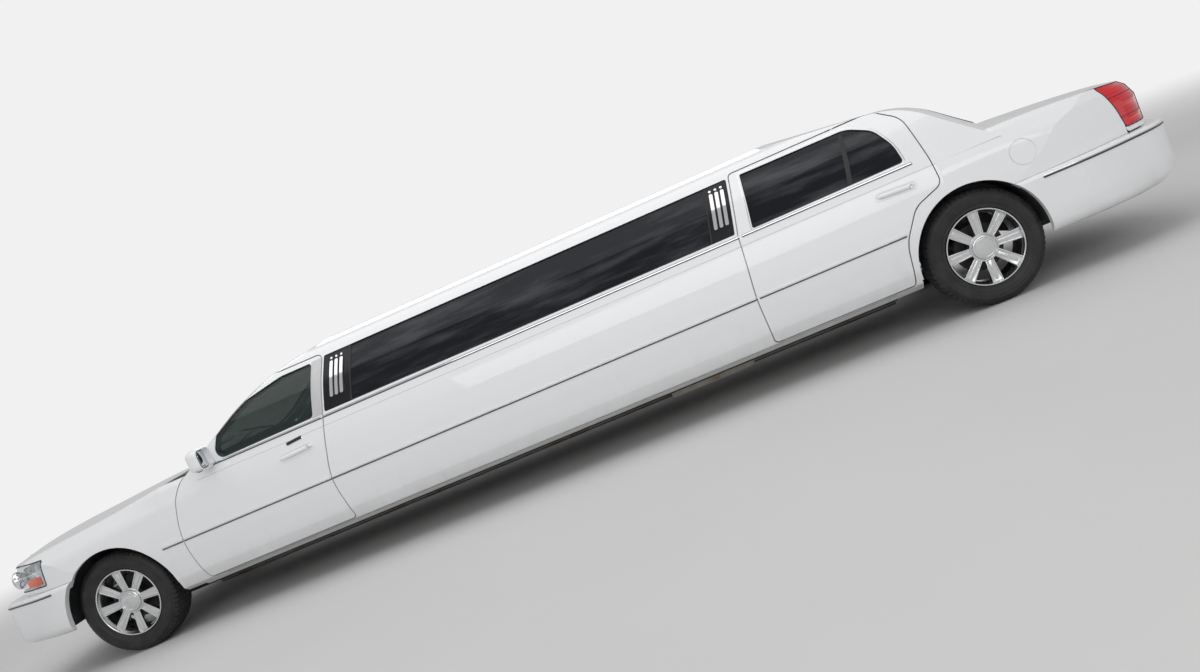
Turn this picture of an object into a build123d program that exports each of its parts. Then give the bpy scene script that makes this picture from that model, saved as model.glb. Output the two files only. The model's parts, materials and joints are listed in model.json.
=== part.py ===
# Stretch limousine: a four-door saloon lengthened by a long middle body, in millimetres.
# +X forward, +Y left, +Z up. The origin is on the ground, midway between the bumpers.

import os
from math import radians, sqrt, tan

from build123d import *

# Overall sizes
OVERALL_LENGTH = 8519.0
WHEELBASE = 6037.0
FRONT_OVERHANG = 1100.0
FRONT_TRACK = 1610.0
REAR_TRACK = 1666.0

# Stations along the car, worked out from the overall sizes
NOSE_X = OVERALL_LENGTH / 2
TAIL_X = -OVERALL_LENGTH / 2
FRONT_AXLE_X = NOSE_X - FRONT_OVERHANG
REAR_AXLE_X = FRONT_AXLE_X - WHEELBASE
CABIN_FRONT_X = FRONT_AXLE_X - 560.0
CABIN_REAR_X = REAR_AXLE_X + 97.0

# Tyre and rim
TYRE_RADIUS = 351.0
TYRE_WIDTH = 225.0
RIM_RADIUS = 234.0
RIM_WIDTH = 196.0
RIM_WALL = 12.0
TYRE_SEAT_GAP = 0.3
SPOKE_COUNT = 8
SPOKE_WIDTH = 62.0
HUB_RADIUS = 72.0
CAP_RADIUS = 36.0
BRAKE_DISC_RADIUS = 150.0
SPINDLE_RADIUS = 24.0
SPINDLE_GAP = 0.5
STEER_AXIS_Y = 700.0

# Wheel arches and the liners over them: station, height and radius
FRONT_ARCH = (FRONT_AXLE_X - 30.0, 345.0, 408.0)
REAR_ARCH = (REAR_AXLE_X + 15.0, 357.0, 393.0)
FRONT_LINER = (FRONT_AXLE_X, 345.0, 420.0)
REAR_LINER = (REAR_AXLE_X + 15.0, 357.0, 395.0)

# Walls and gaps
BODY_WALL = 60.0
WING_WALL = 26.0
LID_WALL = 22.0
DOOR_FLANGE = 20.0
FLANGE_GAP = 6.0
PANEL_GAP = 7.0
FRAME_LAP = 18.0
PLUG_INSET = 33.0
GLASS_SET_IN = 10.0
GLASS_THICK = 5.0
BUMPER_WALL = 40.0
SEAM = 1.0
TIP_PASSES = 8

# Heights that several panels share
FLOOR_Z = 300.0
FLOOR_THICK = 10.0
FLOOR_HALF = 815.0
TUNNEL_HALF = 110.0
TUNNEL_TOP_Z = 410.0
TUNNEL_WALL = 10.0
TUNNEL_ROOM = 3.0
BELT_Z = 992.0
GLASSHOUSE_FOOT_Z = 930.0
ROOF_SEAM_Z = 1376.0
BUMPER_TOP_Z = 640.0
DOOR_BOTTOM_Z = 302.0

# Body section, left half: distance out, height and rounding radius of each corner
ROCKER = (850.0, 252.0, 20.0)
SILL = (930.0, 296.0, 30.0)
CREASE = (962.0, 372.0, 60.0)
WIDEST = (997.0, 608.0, 800.0)
SHOULDER = (965.0, 860.0, 700.0)
GLASS_BEND = (858.0, 1190.0, 700.0)
ROOF_RAIL = (705.0, 1424.0, 130.0)
ROOF_PEAK = (0.0, 1507.0, 4600.0)
CABIN_HALF = [ROCKER, SILL, CREASE, WIDEST, SHOULDER, GLASS_BEND, ROOF_RAIL, ROOF_PEAK]
CROWN_RADIUS = 2600.0
EDGE_RADIUS = 55.0

# Front body sections: station, widest and its rounding, shoulder out and up, edge out and up, crown
FRONT_SECTIONS = [
    (CABIN_FRONT_X - 300.0, 997.0, 800.0, 965.0, 860.0, 924.0, 986.0, 1004.0),
    (CABIN_FRONT_X, 997.0, 800.0, 965.0, 860.0, 924.0, 986.0, 1004.0),
    (CABIN_FRONT_X + 330.0, 997.0, 700.0, 962.0, 848.0, 878.0, 950.0, 1004.0),
    (FRONT_AXLE_X + 140.0, 995.0, 500.0, 950.0, 826.0, 848.0, 918.0, 986.0),
    (FRONT_AXLE_X + 540.0, 982.0, 400.0, 930.0, 800.0, 815.0, 885.0, 962.0),
    (NOSE_X - 140.0, 950.0, 250.0, 886.0, 762.0, 760.0, 836.0, 918.0),
]

# Rear body sections, in the same columns
REAR_SECTIONS = [
    (CABIN_REAR_X, 997.0, 800.0, 965.0, 860.0, 924.0, 986.0, 1004.0),
    (REAR_AXLE_X - 370.0, 996.0, 700.0, 960.0, 872.0, 900.0, 996.0, 1034.0),
    (REAR_AXLE_X - 720.0, 990.0, 500.0, 948.0, 856.0, 868.0, 978.0, 1014.0),
    (REAR_AXLE_X - 1020.0, 978.0, 400.0, 930.0, 836.0, 828.0, 950.0, 988.0),
    (TAIL_X + 46.0, 955.0, 300.0, 902.0, 800.0, 785.0, 905.0, 948.0),
]

# Nose and tail seen from above, left half: station, distance out, rounding
NOSE_PLAN = [(NOSE_X - 146.0, 0.0, 2000.0), (NOSE_X - 230.0, 700.0, 250.0), (NOSE_X - 710.0, 992.0, 1400.0)]
TAIL_PLAN = [(TAIL_X + 42.0, 0.0, 2000.0), (TAIL_X + 80.0, 430.0, 900.0),
             (TAIL_X + 208.0, 755.0, 300.0), (TAIL_X + 760.0, 990.0, 2000.0)]
FRONT_BUMPER_PLAN = [(NOSE_X, 0.0, 2200.0), (NOSE_X - 100.0, 760.0, 260.0), (NOSE_X - 640.0, 1006.0, 900.0)]
REAR_BUMPER_PLAN = [(TAIL_X, 0.0, 3000.0), (TAIL_X + 80.0, 800.0, 420.0), (TAIL_X + 620.0, 1004.0, 900.0)]

# How the nose and the tail lean back as they rise: low and high end of each step, and its angle
NOSE_LEAN = [(200.0, 780.0, 0.0), (780.0, 860.0, 20.0), (860.0, 1100.0, 25.0)]
TAIL_LEAN = [(200.0, 840.0, 0.0), (840.0, 910.0, 25.0), (910.0, 1100.0, 50.0)]

# Side view of what the bumpers tuck under, from the deep end to the tip
FRONT_TUCK = [(3780.0, 315.0, 60.0), (3990.0, 322.0, 200.0), (4170.0, 372.0, 150.0), (NOSE_X + 60.0, 470.0, 20.0)]
REAR_TUCK = [(-3760.0, 279.0, 60.0), (-3960.0, 296.0, 250.0), (-4130.0, 370.0, 150.0), (TAIL_X - 60.0, 500.0, 20.0)]
TUCK_LOW_Z = 100.0

# Windscreen and rear window, side view on the middle line: foot, roof corner and roof point
SCREEN_PROFILE = [(2715.0, 935.0), (1985.0, 1372.0), (1250.0, 1490.0)]
SCREEN_ROUNDING = 1800.0
REAR_GLASS_PROFILE = [(-3372.0, 975.0), (-2960.0, 1338.0), (-1880.0, 1492.0)]
REAR_GLASS_ROUNDING = 600.0
GLASS_PLAN_RADIUS = 1900.0
SCREEN_DEEP_Z = 600.0
SCREEN_INSET_DROP = 1.1

# Door outlines, side view: station and height of each corner, with its rounding
FRONT_DOOR = [
    (1410.0, DOOR_BOTTOM_Z, 25.0), (2506.0, DOOR_BOTTOM_Z, 25.0), (2560.0, 590.0, 900.0),
    (2475.0, 900.0, 300.0), (2372.0, 1008.0, 40.0), (2292.0, 1048.0, 200.0), (1968.0, 1268.0, 500.0),
    (1705.0, 1370.0, 300.0), (1241.0, 1366.0, 30.0), (1338.0, 996.0, 300.0), (1436.0, 600.0, 600.0),
]
REAR_DOOR = [
    (-2418.0, DOOR_BOTTOM_Z, 25.0), (-1518.0, DOOR_BOTTOM_Z, 25.0), (-1510.0, 600.0, 900.0),
    (-1557.0, 996.0, 300.0), (-1655.0, 1366.0, 30.0), (-2590.0, 1366.0, 90.0),
    (-2722.0, 1262.0, 120.0), (-2758.0, 980.0, 500.0), (-2760.0, 812.0, 56.0),
    (-2570.0, 742.0, 160.0), (-2446.0, 560.0, 260.0),
]

# Windows in the doors, side view
FRONT_WINDOW = [(1404.0, 1008.0, 30.0), (2150.0, 1000.0, 60.0), (2085.0, 1160.0, 80.0),
                (1860.0, 1282.0, 400.0), (1560.0, 1340.0, 200.0), (1325.0, 1340.0, 20.0)]
REAR_WINDOW = [(-2624.0, 1012.0, 22.0), (-1652.0, 1004.0, 12.0), (-1716.0, 1340.0, 12.0),
               (-2410.0, 1334.0, 200.0), (-2545.0, 1262.0, 120.0), (-2612.0, 1130.0, 260.0)]

# The long side window and its dark end panels
LONG_WINDOW_FRONT = 1122.0
LONG_WINDOW_REAR = -1392.0
LONG_WINDOW_LOW = 1012.0
LONG_WINDOW_HIGH = 1350.0
END_PANEL_FRONT = 1318.0
END_PANEL_REAR = -1540.0
PILLAR_RAKE = 0.265
BAR_COUNT = 3
BAR_PITCH = 37.0
BAR_WIDTH = 23.0
BAR_LOW = 1085.0
BAR_HIGH = 1300.0

# Chassis
RAIL_Y = 430.0
RAIL_WIDTH = 70.0
RAIL_HEIGHT = 90.0
RAIL_LOW = 178.0
KICK_UP = 232.0
CROSS_COUNT = 7
FRONT_KICK = 212.0
RAIL_FRONT_X = NOSE_X - 180.0
RAIL_REAR_X = TAIL_X + 180.0
# Where panels part from each other along the car
WING_SPLIT_X = 2400.0
PILLAR_SPLIT_X = 1500.0
QUARTER_SPLIT_X = -2300.0
SCUTTLE_X = 2735.0
HOOD_REAR_GAP = 10.0
FIREWALL_X = 2640.0
FIREWALL_TOP_Z = 935.0
GEARBOX_HALF = 92.0
HOOD_LOW_Z = 852.0
HOOD_OVER_GRILLE = 8.0
TRUNK_FRONT_X = -3440.0
TRUNK_FRONT_HALF = 720.0
TRUNK_REAR_HALF = 640.0
TRUNK_LOW_Z = 655.0
TRUNK_FLOOR_Z = 506.0
REAR_FLOOR_HALF = 690.0
TRUNK_BULKHEAD_X = -2960.0
SHELF_Z = 960.0
SHELF_REAR_X = -3300.0
LINER_WALL = 6.0
LINER_GAP = 2.0
LINER_OUT = 936.0
REAR_BUMPER_FRONT_X = -3120.0
FRONT_BUMPER_LOW = 318.0
REAR_BUMPER_LOW = 282.0
BUMPER_ROUNDING = 26.0
BUMPER_LOW_ROUNDING = 60.0
FRONT_LEDGE = 190.0
REAR_LEDGE = 240.0
BUMPER_SKIN = 300.0

# Lamps, grille, plate and flap
HEADLAMP_SIDE = [(3642.0, 674.0, 16.0), (NOSE_X + 50.0, 674.0, 16.0), (NOSE_X + 50.0, 830.0, 16.0),
                 (3900.0, 858.0, 200.0), (3608.0, 846.0, 16.0)]
TAIL_LAMP_SIDE = [(TAIL_X - 60.0, 676.0, 15.0), (-3906.0, 676.0, 24.0), (-3880.0, 800.0, 300.0),
                  (-3845.0, 895.0, 200.0), (-3790.0, 990.0, 30.0), (TAIL_X - 60.0, 990.0, 15.0)]
LAMP_GAP = 3.0
LAMP_INNER_Y = 430.0
LAMP_DEPTH = 55.0
LAMP_TAIL_Y = 655.0
GRILLE_HALF = 400.0
GRILLE_LOW = 660.0
GRILLE_HIGH = 880.0
GRILLE_BACK_X = 4070.0
GRILLE_FRONT_X = 4140.0
GRILLE_BARS = 23
PLATE_FACE_X = -4190.0
PLATE_BACKING = 10.0
PLATE_CENTRE_Z = 785.0
PLATE_HOLE_SPAN_Y = 177.8
PLATE_HOLE_SPAN_Z = 120.65
PLATE_HOLE_RADIUS = 3.2
FLAP_X = -3251.0
FLAP_Z = 793.0
FLAP_RADIUS = 73.0
FLAP_THICK = 8.0
PANEL_SET_IN = 6.0
BAR_PROUD = 4.0
DISC_LOW = -62.0

# Inside
ENGINE_X = 3240.0
RADIATOR_X = 4003.0
EXHAUST_Y = 250.0
EXHAUST_Z = 148.0
EXHAUST_TAIL_X = -2400.0
SEAT_FRONT_X = 2010.0
SEAT_Y = 390.0
SEAT_WIDTH = 530.0
PARTITION_X = 1160.0
BENCH_FRONT_X = 600.0
BENCH_REAR_X = -2230.0
BENCH_SPACE = 20.0
BAR_REAR_X = -1150.0
BAR_FRONT_X = 850.0
BAR_BAYS = 5
MIRROR = (2178.0, 1012.0, 1050.0)
MIRROR_SIZE = (104.0, 186.0, 150.0)
MIRROR_ROUNDING = 44.0
MIRROR_RIM = 14.0


def inset_polygon(points, distance):
    """Moves each side of a closed anticlockwise polygon inwards by a distance."""
    moved = []
    for i, (bx, by) in enumerate(points):
        ax, ay = points[i - 1]
        cx, cy = points[(i + 1) % len(points)]
        u = Vector(bx - ax, by - ay).normalized()
        v = Vector(cx - bx, cy - by).normalized()
        n = Vector(-u.Y, u.X)
        m = Vector(-v.Y, v.X)
        scale = distance / (1.0 + n.dot(m))
        moved.append((bx + scale * (n.X + m.X), by + scale * (n.Y + m.Y)))
    return moved


def signed_area(points):
    return sum(points[i - 1][0] * points[i][1] - points[i][0] * points[i - 1][1]
               for i in range(len(points))) / 2


def rounded_face(corners, inset=0.0):
    """A closed flat face from (x, y, radius) corners, moved inwards by an inset."""
    points = [corner[:2] for corner in corners]
    side = 1.0 if signed_area(points) > 0 else -1.0
    moved = inset_polygon(points, inset * side) if inset else points
    radii = [max(corner[2] - inset, 4.0) for corner in corners]
    return make_face(FilletPolyline(*moved, radius=radii, close=True))


def mirror_half(half):
    """A symmetric closed section from its left half, listed upwards to a corner on the middle."""
    foot = half[0]
    right = [(-y, z, r) for y, z, r in reversed(half[1:]) if y > 0]
    return [(-foot[0], foot[1], foot[2])] + list(half) + right


def section_at(half, x, inset=0.0):
    return Plane.YZ.offset(x) * rounded_face(mirror_half(half), inset)


def side_prism(corners, low_y, high_y, inset=0.0):
    """An outline in the side view (x, z), made solid between two distances out."""
    face = Pos(0, low_y, 0) * (Plane.XZ * rounded_face(corners, inset))
    return extrude(face, amount=high_y - low_y, dir=(0, 1, 0))


def plan_prism(corners, low_z, high_z, inset=0.0):
    """An outline seen from above (x, y), made solid between two heights."""
    return extrude(Pos(0, 0, low_z) * rounded_face(corners, inset), amount=high_z - low_z)


def front_prism(corners, low_x, high_x):
    """An outline in the front view (y, z), made solid between two stations."""
    face = Plane.YZ.offset(low_x) * rounded_face(corners)
    return extrude(face, amount=high_x - low_x, dir=(1, 0, 0))


def block(low_x, high_x, low_y, high_y, low_z, high_z):
    middle = ((low_x + high_x) / 2, (low_y + high_y) / 2, (low_z + high_z) / 2)
    return Pos(*middle) * Box(high_x - low_x, high_y - low_y, high_z - low_z)


def rod_y(x, z, radius, low_y, high_y):
    face = Pos(x, low_y, z) * (Plane.XZ * Circle(radius))
    return extrude(face, amount=high_y - low_y, dir=(0, 1, 0))


def rod_x(y, z, radius, low_x, high_x):
    return extrude(Plane.YZ.offset(low_x) * (Pos(y, z) * Circle(radius)), amount=high_x - low_x)


def rod_z(x, y, radius, low_z, high_z):
    return extrude(Pos(x, y, low_z) * Circle(radius), amount=high_z - low_z)


def both_sides(piece):
    return Compound(children=list(piece.solids()) + list(mirror(piece, about=Plane.XZ).solids()))


def right_of(piece):
    return mirror(piece, about=Plane.XZ)


def joined(pieces):
    """Separate solids that share one file."""
    solids = [solid for piece in pieces for solid in piece.solids()]
    return Compound(children=solids)


# Outer and inner body shapes

def cabin_prism(inset=0.0):
    face = section_at(CABIN_HALF, CABIN_REAR_X, inset)
    return extrude(face, amount=CABIN_FRONT_X - CABIN_REAR_X, dir=(1, 0, 0))


def belt_out(height):
    """Distance out of the straight part of the side, between shoulder and glass bend."""
    share = (height - SHOULDER[1]) / (GLASS_BEND[1] - SHOULDER[1])
    return SHOULDER[0] + share * (GLASS_BEND[0] - SHOULDER[0])


def glasshouse_prism(inset=0.0):
    """The upper half of the section, run out over the scuttle and the rear deck."""
    foot_z = GLASSHOUSE_FOOT_Z - inset
    half = [(belt_out(foot_z), foot_z, 4.0), GLASS_BEND, ROOF_RAIL, ROOF_PEAK]
    low_x = REAR_GLASS_PROFILE[0][0] - 60.0
    high_x = SCREEN_PROFILE[0][0] + 40.0
    return extrude(section_at(half, low_x, inset), amount=high_x - low_x, dir=(1, 0, 0))


def turned_profile(profile, rounding, inset, direction):
    """A windscreen profile turned about an upright axis, so that the glass bows outwards."""
    foot, bend, roof = profile
    centre_x = foot[0] - direction * GLASS_PLAN_RADIUS
    foot_run = (bend[0] - foot[0]) / (bend[1] - foot[1]) * direction
    deep_radius = GLASS_PLAN_RADIUS - foot_run * (foot[1] - SCREEN_DEEP_Z)
    drop = SCREEN_INSET_DROP * inset
    corners = [
        (0.0, SCREEN_DEEP_Z, 1.0), (deep_radius, SCREEN_DEEP_Z, 1.0),
        (abs(bend[0] - centre_x), bend[1] - drop, rounding),
        (abs(roof[0] - centre_x), roof[1] - drop, 1.0), (0.0, roof[1] + 60.0 - drop, 1.0),
    ]
    points = [corner[:2] for corner in corners]
    face = make_face(FilletPolyline(*points, radius=[corner[2] for corner in corners], close=True))
    turned = revolve(Plane.XZ * face, axis=Axis.Z, revolution_arc=360)
    return Pos(centre_x, 0, 0) * turned


def glasshouse(inset=0.0):
    """Roof, screens and side glass as one solid shape."""
    prism = glasshouse_prism(inset)
    front_axis = SCREEN_PROFILE[0][0] - GLASS_PLAN_RADIUS
    rear_axis = REAR_GLASS_PROFILE[0][0] + GLASS_PLAN_RADIUS
    front = prism & block(front_axis, 4000, -1100, 1100, 800, 1600)
    rear = prism & block(-4000, rear_axis, -1100, 1100, 800, 1600)
    middle = prism & block(rear_axis, front_axis, -1100, 1100, 800, 1600)
    front = front & turned_profile(SCREEN_PROFILE, SCREEN_ROUNDING, inset, 1)
    rear = rear & turned_profile(REAR_GLASS_PROFILE, REAR_GLASS_ROUNDING, inset, -1)
    return front + middle + rear


def loft_half(row):
    station, wide_y, rounding, shoulder_y, shoulder_z, edge_y, edge_z, crown_z = row
    trim = wide_y - WIDEST[0]
    return [
        (ROCKER[0] + trim, ROCKER[1], ROCKER[2]), (SILL[0] + trim, SILL[1], SILL[2]),
        (CREASE[0] + trim, CREASE[1], CREASE[2]), (wide_y, WIDEST[1], rounding),
        (shoulder_y, shoulder_z, 160.0), (edge_y, edge_z, EDGE_RADIUS), (0.0, crown_z, CROWN_RADIUS),
    ]


def end_loft(rows, inset=0.0):
    return loft([section_at(loft_half(row), row[0], inset) for row in rows])


def plan_corners(half, back_x):
    """A symmetric outline from its left half, closed across the car at a station behind."""
    left = [(x, y, r) for x, y, r in half if y > 0]
    right = [(x, -y, r) for x, y, r in reversed(left)]
    outer_y = left[-1][1]
    tip_x, _, tip_radius = half[0]
    side = 1 if tip_x > left[0][0] else -1
    lift = 0.0
    for _ in range(TIP_PASSES):
        slope = (tip_x + lift - left[0][0]) / left[0][1]
        lift = side * tip_radius * (sqrt(1 + slope * slope) - 1)
    tip = [(tip_x + lift, 0.0, tip_radius)]
    return [(back_x, -outer_y, 1.0)] + right + tip + left + [(back_x, outer_y, 1.0)]


def leaning_end(half_plan, back_x, steps, inset):
    """The outline of an end seen from above, raised in steps that each lean towards the cabin."""
    corners = plan_corners(half_plan, back_x)
    inwards = -1.0 if half_plan[0][0] > back_x else 1.0
    moved = 0.0
    whole = None
    for low_z, high_z, angle in steps:
        lean = inwards * tan(radians(angle))
        face = Pos(moved, 0, low_z) * rounded_face(corners, inset)
        rise = high_z - low_z
        step = extrude(face, amount=rise * sqrt(1 + lean * lean), dir=(lean, 0, 1))
        whole = step if whole is None else whole + step
        moved += rise * lean
    return whole


def front_body(inset=0.0):
    end = leaning_end(NOSE_PLAN, CABIN_FRONT_X - 600, NOSE_LEAN, inset)
    return end_loft(FRONT_SECTIONS, inset) & end


def rear_body(inset=0.0):
    end = leaning_end(TAIL_PLAN, CABIN_REAR_X + 260, TAIL_LEAN, inset)
    return end_loft(REAR_SECTIONS, inset) & end


def cabin_body(inset=0.0):
    """Lower cabin, glasshouse and the deck ahead of the doors, as one shape."""
    low = cabin_prism(inset) & block(CABIN_REAR_X, CABIN_FRONT_X, -1100, 1100, 200, GLASSHOUSE_FOOT_Z)
    row = FRONT_SECTIONS[0]
    deck_face = section_at(loft_half(row), row[0], inset)
    deck = extrude(deck_face, amount=CABIN_FRONT_X - row[0], dir=(1, 0, 0))
    return low + glasshouse(inset) + deck


def left_half(piece):
    return piece & block(-5000, 5000, 0, 1200, 0, 1700)


# Door cuts and doors

def door_hole(outline):
    """What a door takes out of the left side: its flange with a gap, and a smaller way through."""
    flange = side_prism(outline, 450, 1100, -PANEL_GAP) - SHAPES["lip"]
    way = side_prism(outline, 450, 1100, FRAME_LAP)
    return flange + way


def door_panel(outline, window):
    flange = (SHAPES["outer"] - SHAPES["flange"]) & side_prism(outline, 450, 1100)
    plug = (SHAPES["outer"] & SHAPES["flange"]) - SHAPES["side_inner"]
    plug = plug & side_prism(outline, 450, 1100, PLUG_INSET)
    return largest((flange + plug) - side_prism(window, 450, 1100))


def door_glass(window):
    return SHAPES["glass"] & side_prism(window, 450, 1100)


# Body panels fixed to the floor

def arch_cut(arch, low_y=450):
    station, height, radius = arch
    return rod_y(station, height, radius, low_y, 1200)


def raked_outline(rear_x, front_x, low_z, high_z, radius):
    """A side window whose ends lean back as they rise."""
    lean = PILLAR_RAKE * (high_z - low_z)
    return [(rear_x, low_z, radius), (front_x, low_z, radius),
            (front_x - lean, high_z, radius), (rear_x - lean, high_z, radius)]


def long_opening():
    return raked_outline(END_PANEL_REAR, END_PANEL_FRONT, LONG_WINDOW_LOW, LONG_WINDOW_HIGH, 12.0)


def screen_opening():
    """Windscreen opening in the front view."""
    half = [(-735.0, 1014.0, 60.0), (735.0, 1014.0, 60.0), (600.0, 1398.0, 70.0), (-600.0, 1398.0, 70.0)]
    return front_prism(half, 1500, 2900)


def rear_glass_opening():
    half = [(-640.0, 1052.0, 60.0), (640.0, 1052.0, 60.0), (545.0, 1388.0, 80.0), (-545.0, 1388.0, 80.0)]
    return front_prism(half, -3500, -2350)


def cabin_shell():
    shell = SHAPES["outer"] - SHAPES["inner"]
    for outline in (FRONT_DOOR, REAR_DOOR):
        shell = shell - door_hole(outline)
    shell = shell - side_prism(long_opening(), 450, 1100)
    shell = shell - screen_opening()
    shell = shell - rear_glass_opening()
    return shell


def wide_block(low_x, high_x, low_z, high_z, low_y=-1200):
    return block(low_x, high_x, low_y, 1200, low_z, high_z)


def roof_half(shell):
    top = shell & wide_block(-4000, 4000, ROOF_SEAM_Z, 1700)
    pillar = (shell & SHAPES["glasshouse"]) & wide_block(PILLAR_SPLIT_X, 4000, BELT_Z, ROOF_SEAM_Z)
    return largest(top + pillar)


def roof_panel(shell):
    half = roof_half(shell)
    return half + right_of(half)


def body_side(shell):
    side = shell & wide_block(QUARTER_SPLIT_X, WING_SPLIT_X, 200, ROOF_SEAM_Z, 440)
    side = side - block(QUARTER_SPLIT_X, WING_SPLIT_X, 430, FLOOR_HALF, 200, 400)
    return largest(side - wide_block(PILLAR_SPLIT_X, 4000, BELT_Z, ROOF_SEAM_Z))


def hood_plan(gap=0.0):
    """Bonnet outline seen from above, full width."""
    left = [(NOSE_X - 20.0, 610.0), (SCUTTLE_X - 60.0, 795.0)]
    front_x, front_y = left[0]
    rear_x, rear_y = left[1]
    return [
        (rear_x - gap, -rear_y - gap, 40.0), (front_x + gap, -front_y - gap, 60.0),
        (front_x + gap, front_y + gap, 60.0), (rear_x - gap, rear_y + gap, 40.0),
        (SCUTTLE_X - gap, 0.0, 2500.0),
    ]


def front_wing(nose_shell, cabin):
    wing = nose_shell & wide_block(CABIN_FRONT_X, 5000, 200, 1200, 0)
    wing = wing + (cabin & wide_block(WING_SPLIT_X, CABIN_FRONT_X, 200, BELT_Z, 440))
    wing = wing - plan_prism(hood_plan(PANEL_GAP - 1.0), 700, 1200)
    wing = wing - arch_cut(FRONT_ARCH)
    wing = wing - block(FRONT_AXLE_X, 5000, -10, 1100, 200, BUMPER_TOP_Z + SEAM)
    wing = wing - block(CABIN_FRONT_X, 5000, -10, 880, 200, 500)
    wing = wing - block(CABIN_FRONT_X, SCUTTLE_X + 30, -10, 440, 200, 1200)
    wing = wing - side_prism(HEADLAMP_SIDE, LAMP_INNER_Y - LAMP_GAP, 1100, -LAMP_GAP)
    wing = wing - block(NOSE_X - 300, 5000, -10, GRILLE_HALF + 8, 200, 1200)
    wing = wing - block(WING_SPLIT_X, SCUTTLE_X + 30 + SEAM, -10, FLOOR_HALF + SEAM, 200, 1200)
    wing = wing - liner_room(FRONT_LINER)
    return largest(wing)


def largest(piece):
    """The biggest solid of a cut, without any loose corner."""
    return sorted(piece.solids(), key=lambda solid: solid.volume)[-1]


def scuttle(nose_shell):
    """The panel between bonnet and windscreen."""
    strip = nose_shell & block(WING_SPLIT_X, SCUTTLE_X + 30, -FLOOR_HALF, FLOOR_HALF, 900, 1200)
    strip = strip - plan_prism(hood_plan(HOOD_REAR_GAP), 700, 1200)
    strip = strip - SHAPES["glasshouse"]
    return largest(strip)


def firewall():
    wall = block(FIREWALL_X, FIREWALL_X + 12, -780, 780, FLOOR_Z, FIREWALL_TOP_Z)
    way = GEARBOX_HALF + 10
    return wall - block(FIREWALL_X - 5, FIREWALL_X + 20, -way, way, FLOOR_Z - 10, RAIL_LOW + 225)


def hood(nose_outer, nose_inner):
    skin = nose_outer - nose_inner
    skin = skin & plan_prism(hood_plan(), HOOD_LOW_Z, 1200)
    half = GRILLE_HALF + HOOD_OVER_GRILLE
    skin = skin - block(GRILLE_BACK_X - 30, NOSE_X, -half, half, 700, GRILLE_HIGH + HOOD_OVER_GRILLE)
    return largest(skin)


def headlamp(nose_outer):
    lamp = nose_outer - SHAPES["nose_deep"]
    lamp = lamp & side_prism(HEADLAMP_SIDE, LAMP_INNER_Y, 1100)
    lamp = lamp - plan_prism(hood_plan(PANEL_GAP - 1.0), HOOD_LOW_Z - PANEL_GAP, 1200)
    return largest(lamp)


def grille():
    """A broad upright grille: a rounded chrome frame with close vertical bars."""
    low, high = GRILLE_LOW, GRILLE_HIGH
    outer = [(-GRILLE_HALF + 40, low, 50.0), (GRILLE_HALF - 40, low, 50.0),
             (GRILLE_HALF, high, 60.0), (-GRILLE_HALF, high, 60.0)]
    frame = front_prism(outer, GRILLE_BACK_X, GRILLE_FRONT_X)
    frame = frame - front_prism([(y * 0.93, z + (22 if z == low else -26), r * 0.6) for y, z, r in outer],
                                GRILLE_BACK_X - 5, GRILLE_FRONT_X + 5)
    pitch = 2 * (GRILLE_HALF - 50) / GRILLE_BARS
    for i in range(GRILLE_BARS):
        y = (i - (GRILLE_BARS - 1) / 2) * pitch
        frame = frame + block(GRILLE_BACK_X + 8, GRILLE_FRONT_X - 14, y - 5, y + 5, low + 10, high - 10)
    return frame


def tuck(side_view, raised=0.0):
    """What is cut away below a bumper's underside, across the whole car."""
    first, last = side_view[0], side_view[-1]
    corners = [(first[0], TUCK_LOW_Z, 1.0)] + list(side_view) + [(last[0], TUCK_LOW_Z, 1.0)]
    return side_prism([(x, z + raised if z > TUCK_LOW_Z else z, r) for x, z, r in corners], -1200, 1200)


def bumper_shell(half_plan, back_x, low_z, side_view, ledge):
    """A bumper with rounded edges, a tucked underside and an open back."""
    corners = plan_corners(half_plan, back_x)
    solid = plan_prism(corners, low_z, BUMPER_TOP_Z)
    ends = {True: BUMPER_ROUNDING, False: BUMPER_LOW_ROUNDING}
    for upper, radius in ends.items():
        face = solid.faces().filter_by(Plane.XY).sort_by(Axis.Z)[-1 if upper else 0]
        edges = [edge for edge in face.edges() if abs(edge.center().X - back_x) > 5]
        solid = fillet(edges, radius)
    solid = solid - tuck(side_view)
    side = 1 if back_x > 0 else -1
    floor = tuck(side_view, BUMPER_WALL)
    rooms = ((BUMPER_WALL, -BUMPER_WALL, 100), (ledge, 20, 300))
    for inset, over_top, length in rooms:
        room = plan_prism(corners, low_z - 20, BUMPER_TOP_Z + over_top, inset)
        solid = solid - ((room + room.moved(Location((-side * length, 0, 0)))) - floor)
    middle = plan_prism(corners, low_z - 20, BUMPER_TOP_Z + 20, BUMPER_SKIN)
    return solid - middle - middle.moved(Location((-side * 500, 0, 0)))


def front_bumper():
    bumper = bumper_shell(FRONT_BUMPER_PLAN, FRONT_AXLE_X - 400, FRONT_BUMPER_LOW, FRONT_TUCK, FRONT_LEDGE)
    bumper = bumper - arch_cut(FRONT_ARCH, -1200) - both_sides(liner_room(FRONT_LINER))
    bumper = bumper - block(NOSE_X - 200, NOSE_X + 50, -480, 480, 420, 480)
    bumper = bumper & block(FRONT_AXLE_X + 250, 5000, -1100, 1100, 0, 900)
    return largest(bumper)


def rear_bumper():
    bumper = bumper_shell(REAR_BUMPER_PLAN, REAR_AXLE_X + 400, REAR_BUMPER_LOW, REAR_TUCK, REAR_LEDGE)
    bumper = bumper - arch_cut(REAR_ARCH, -1200) - both_sides(liner_room(REAR_LINER))
    bumper = bumper & block(-5000, REAR_BUMPER_FRONT_X, -1100, 1100, 0, 900)
    return largest(bumper)


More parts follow.
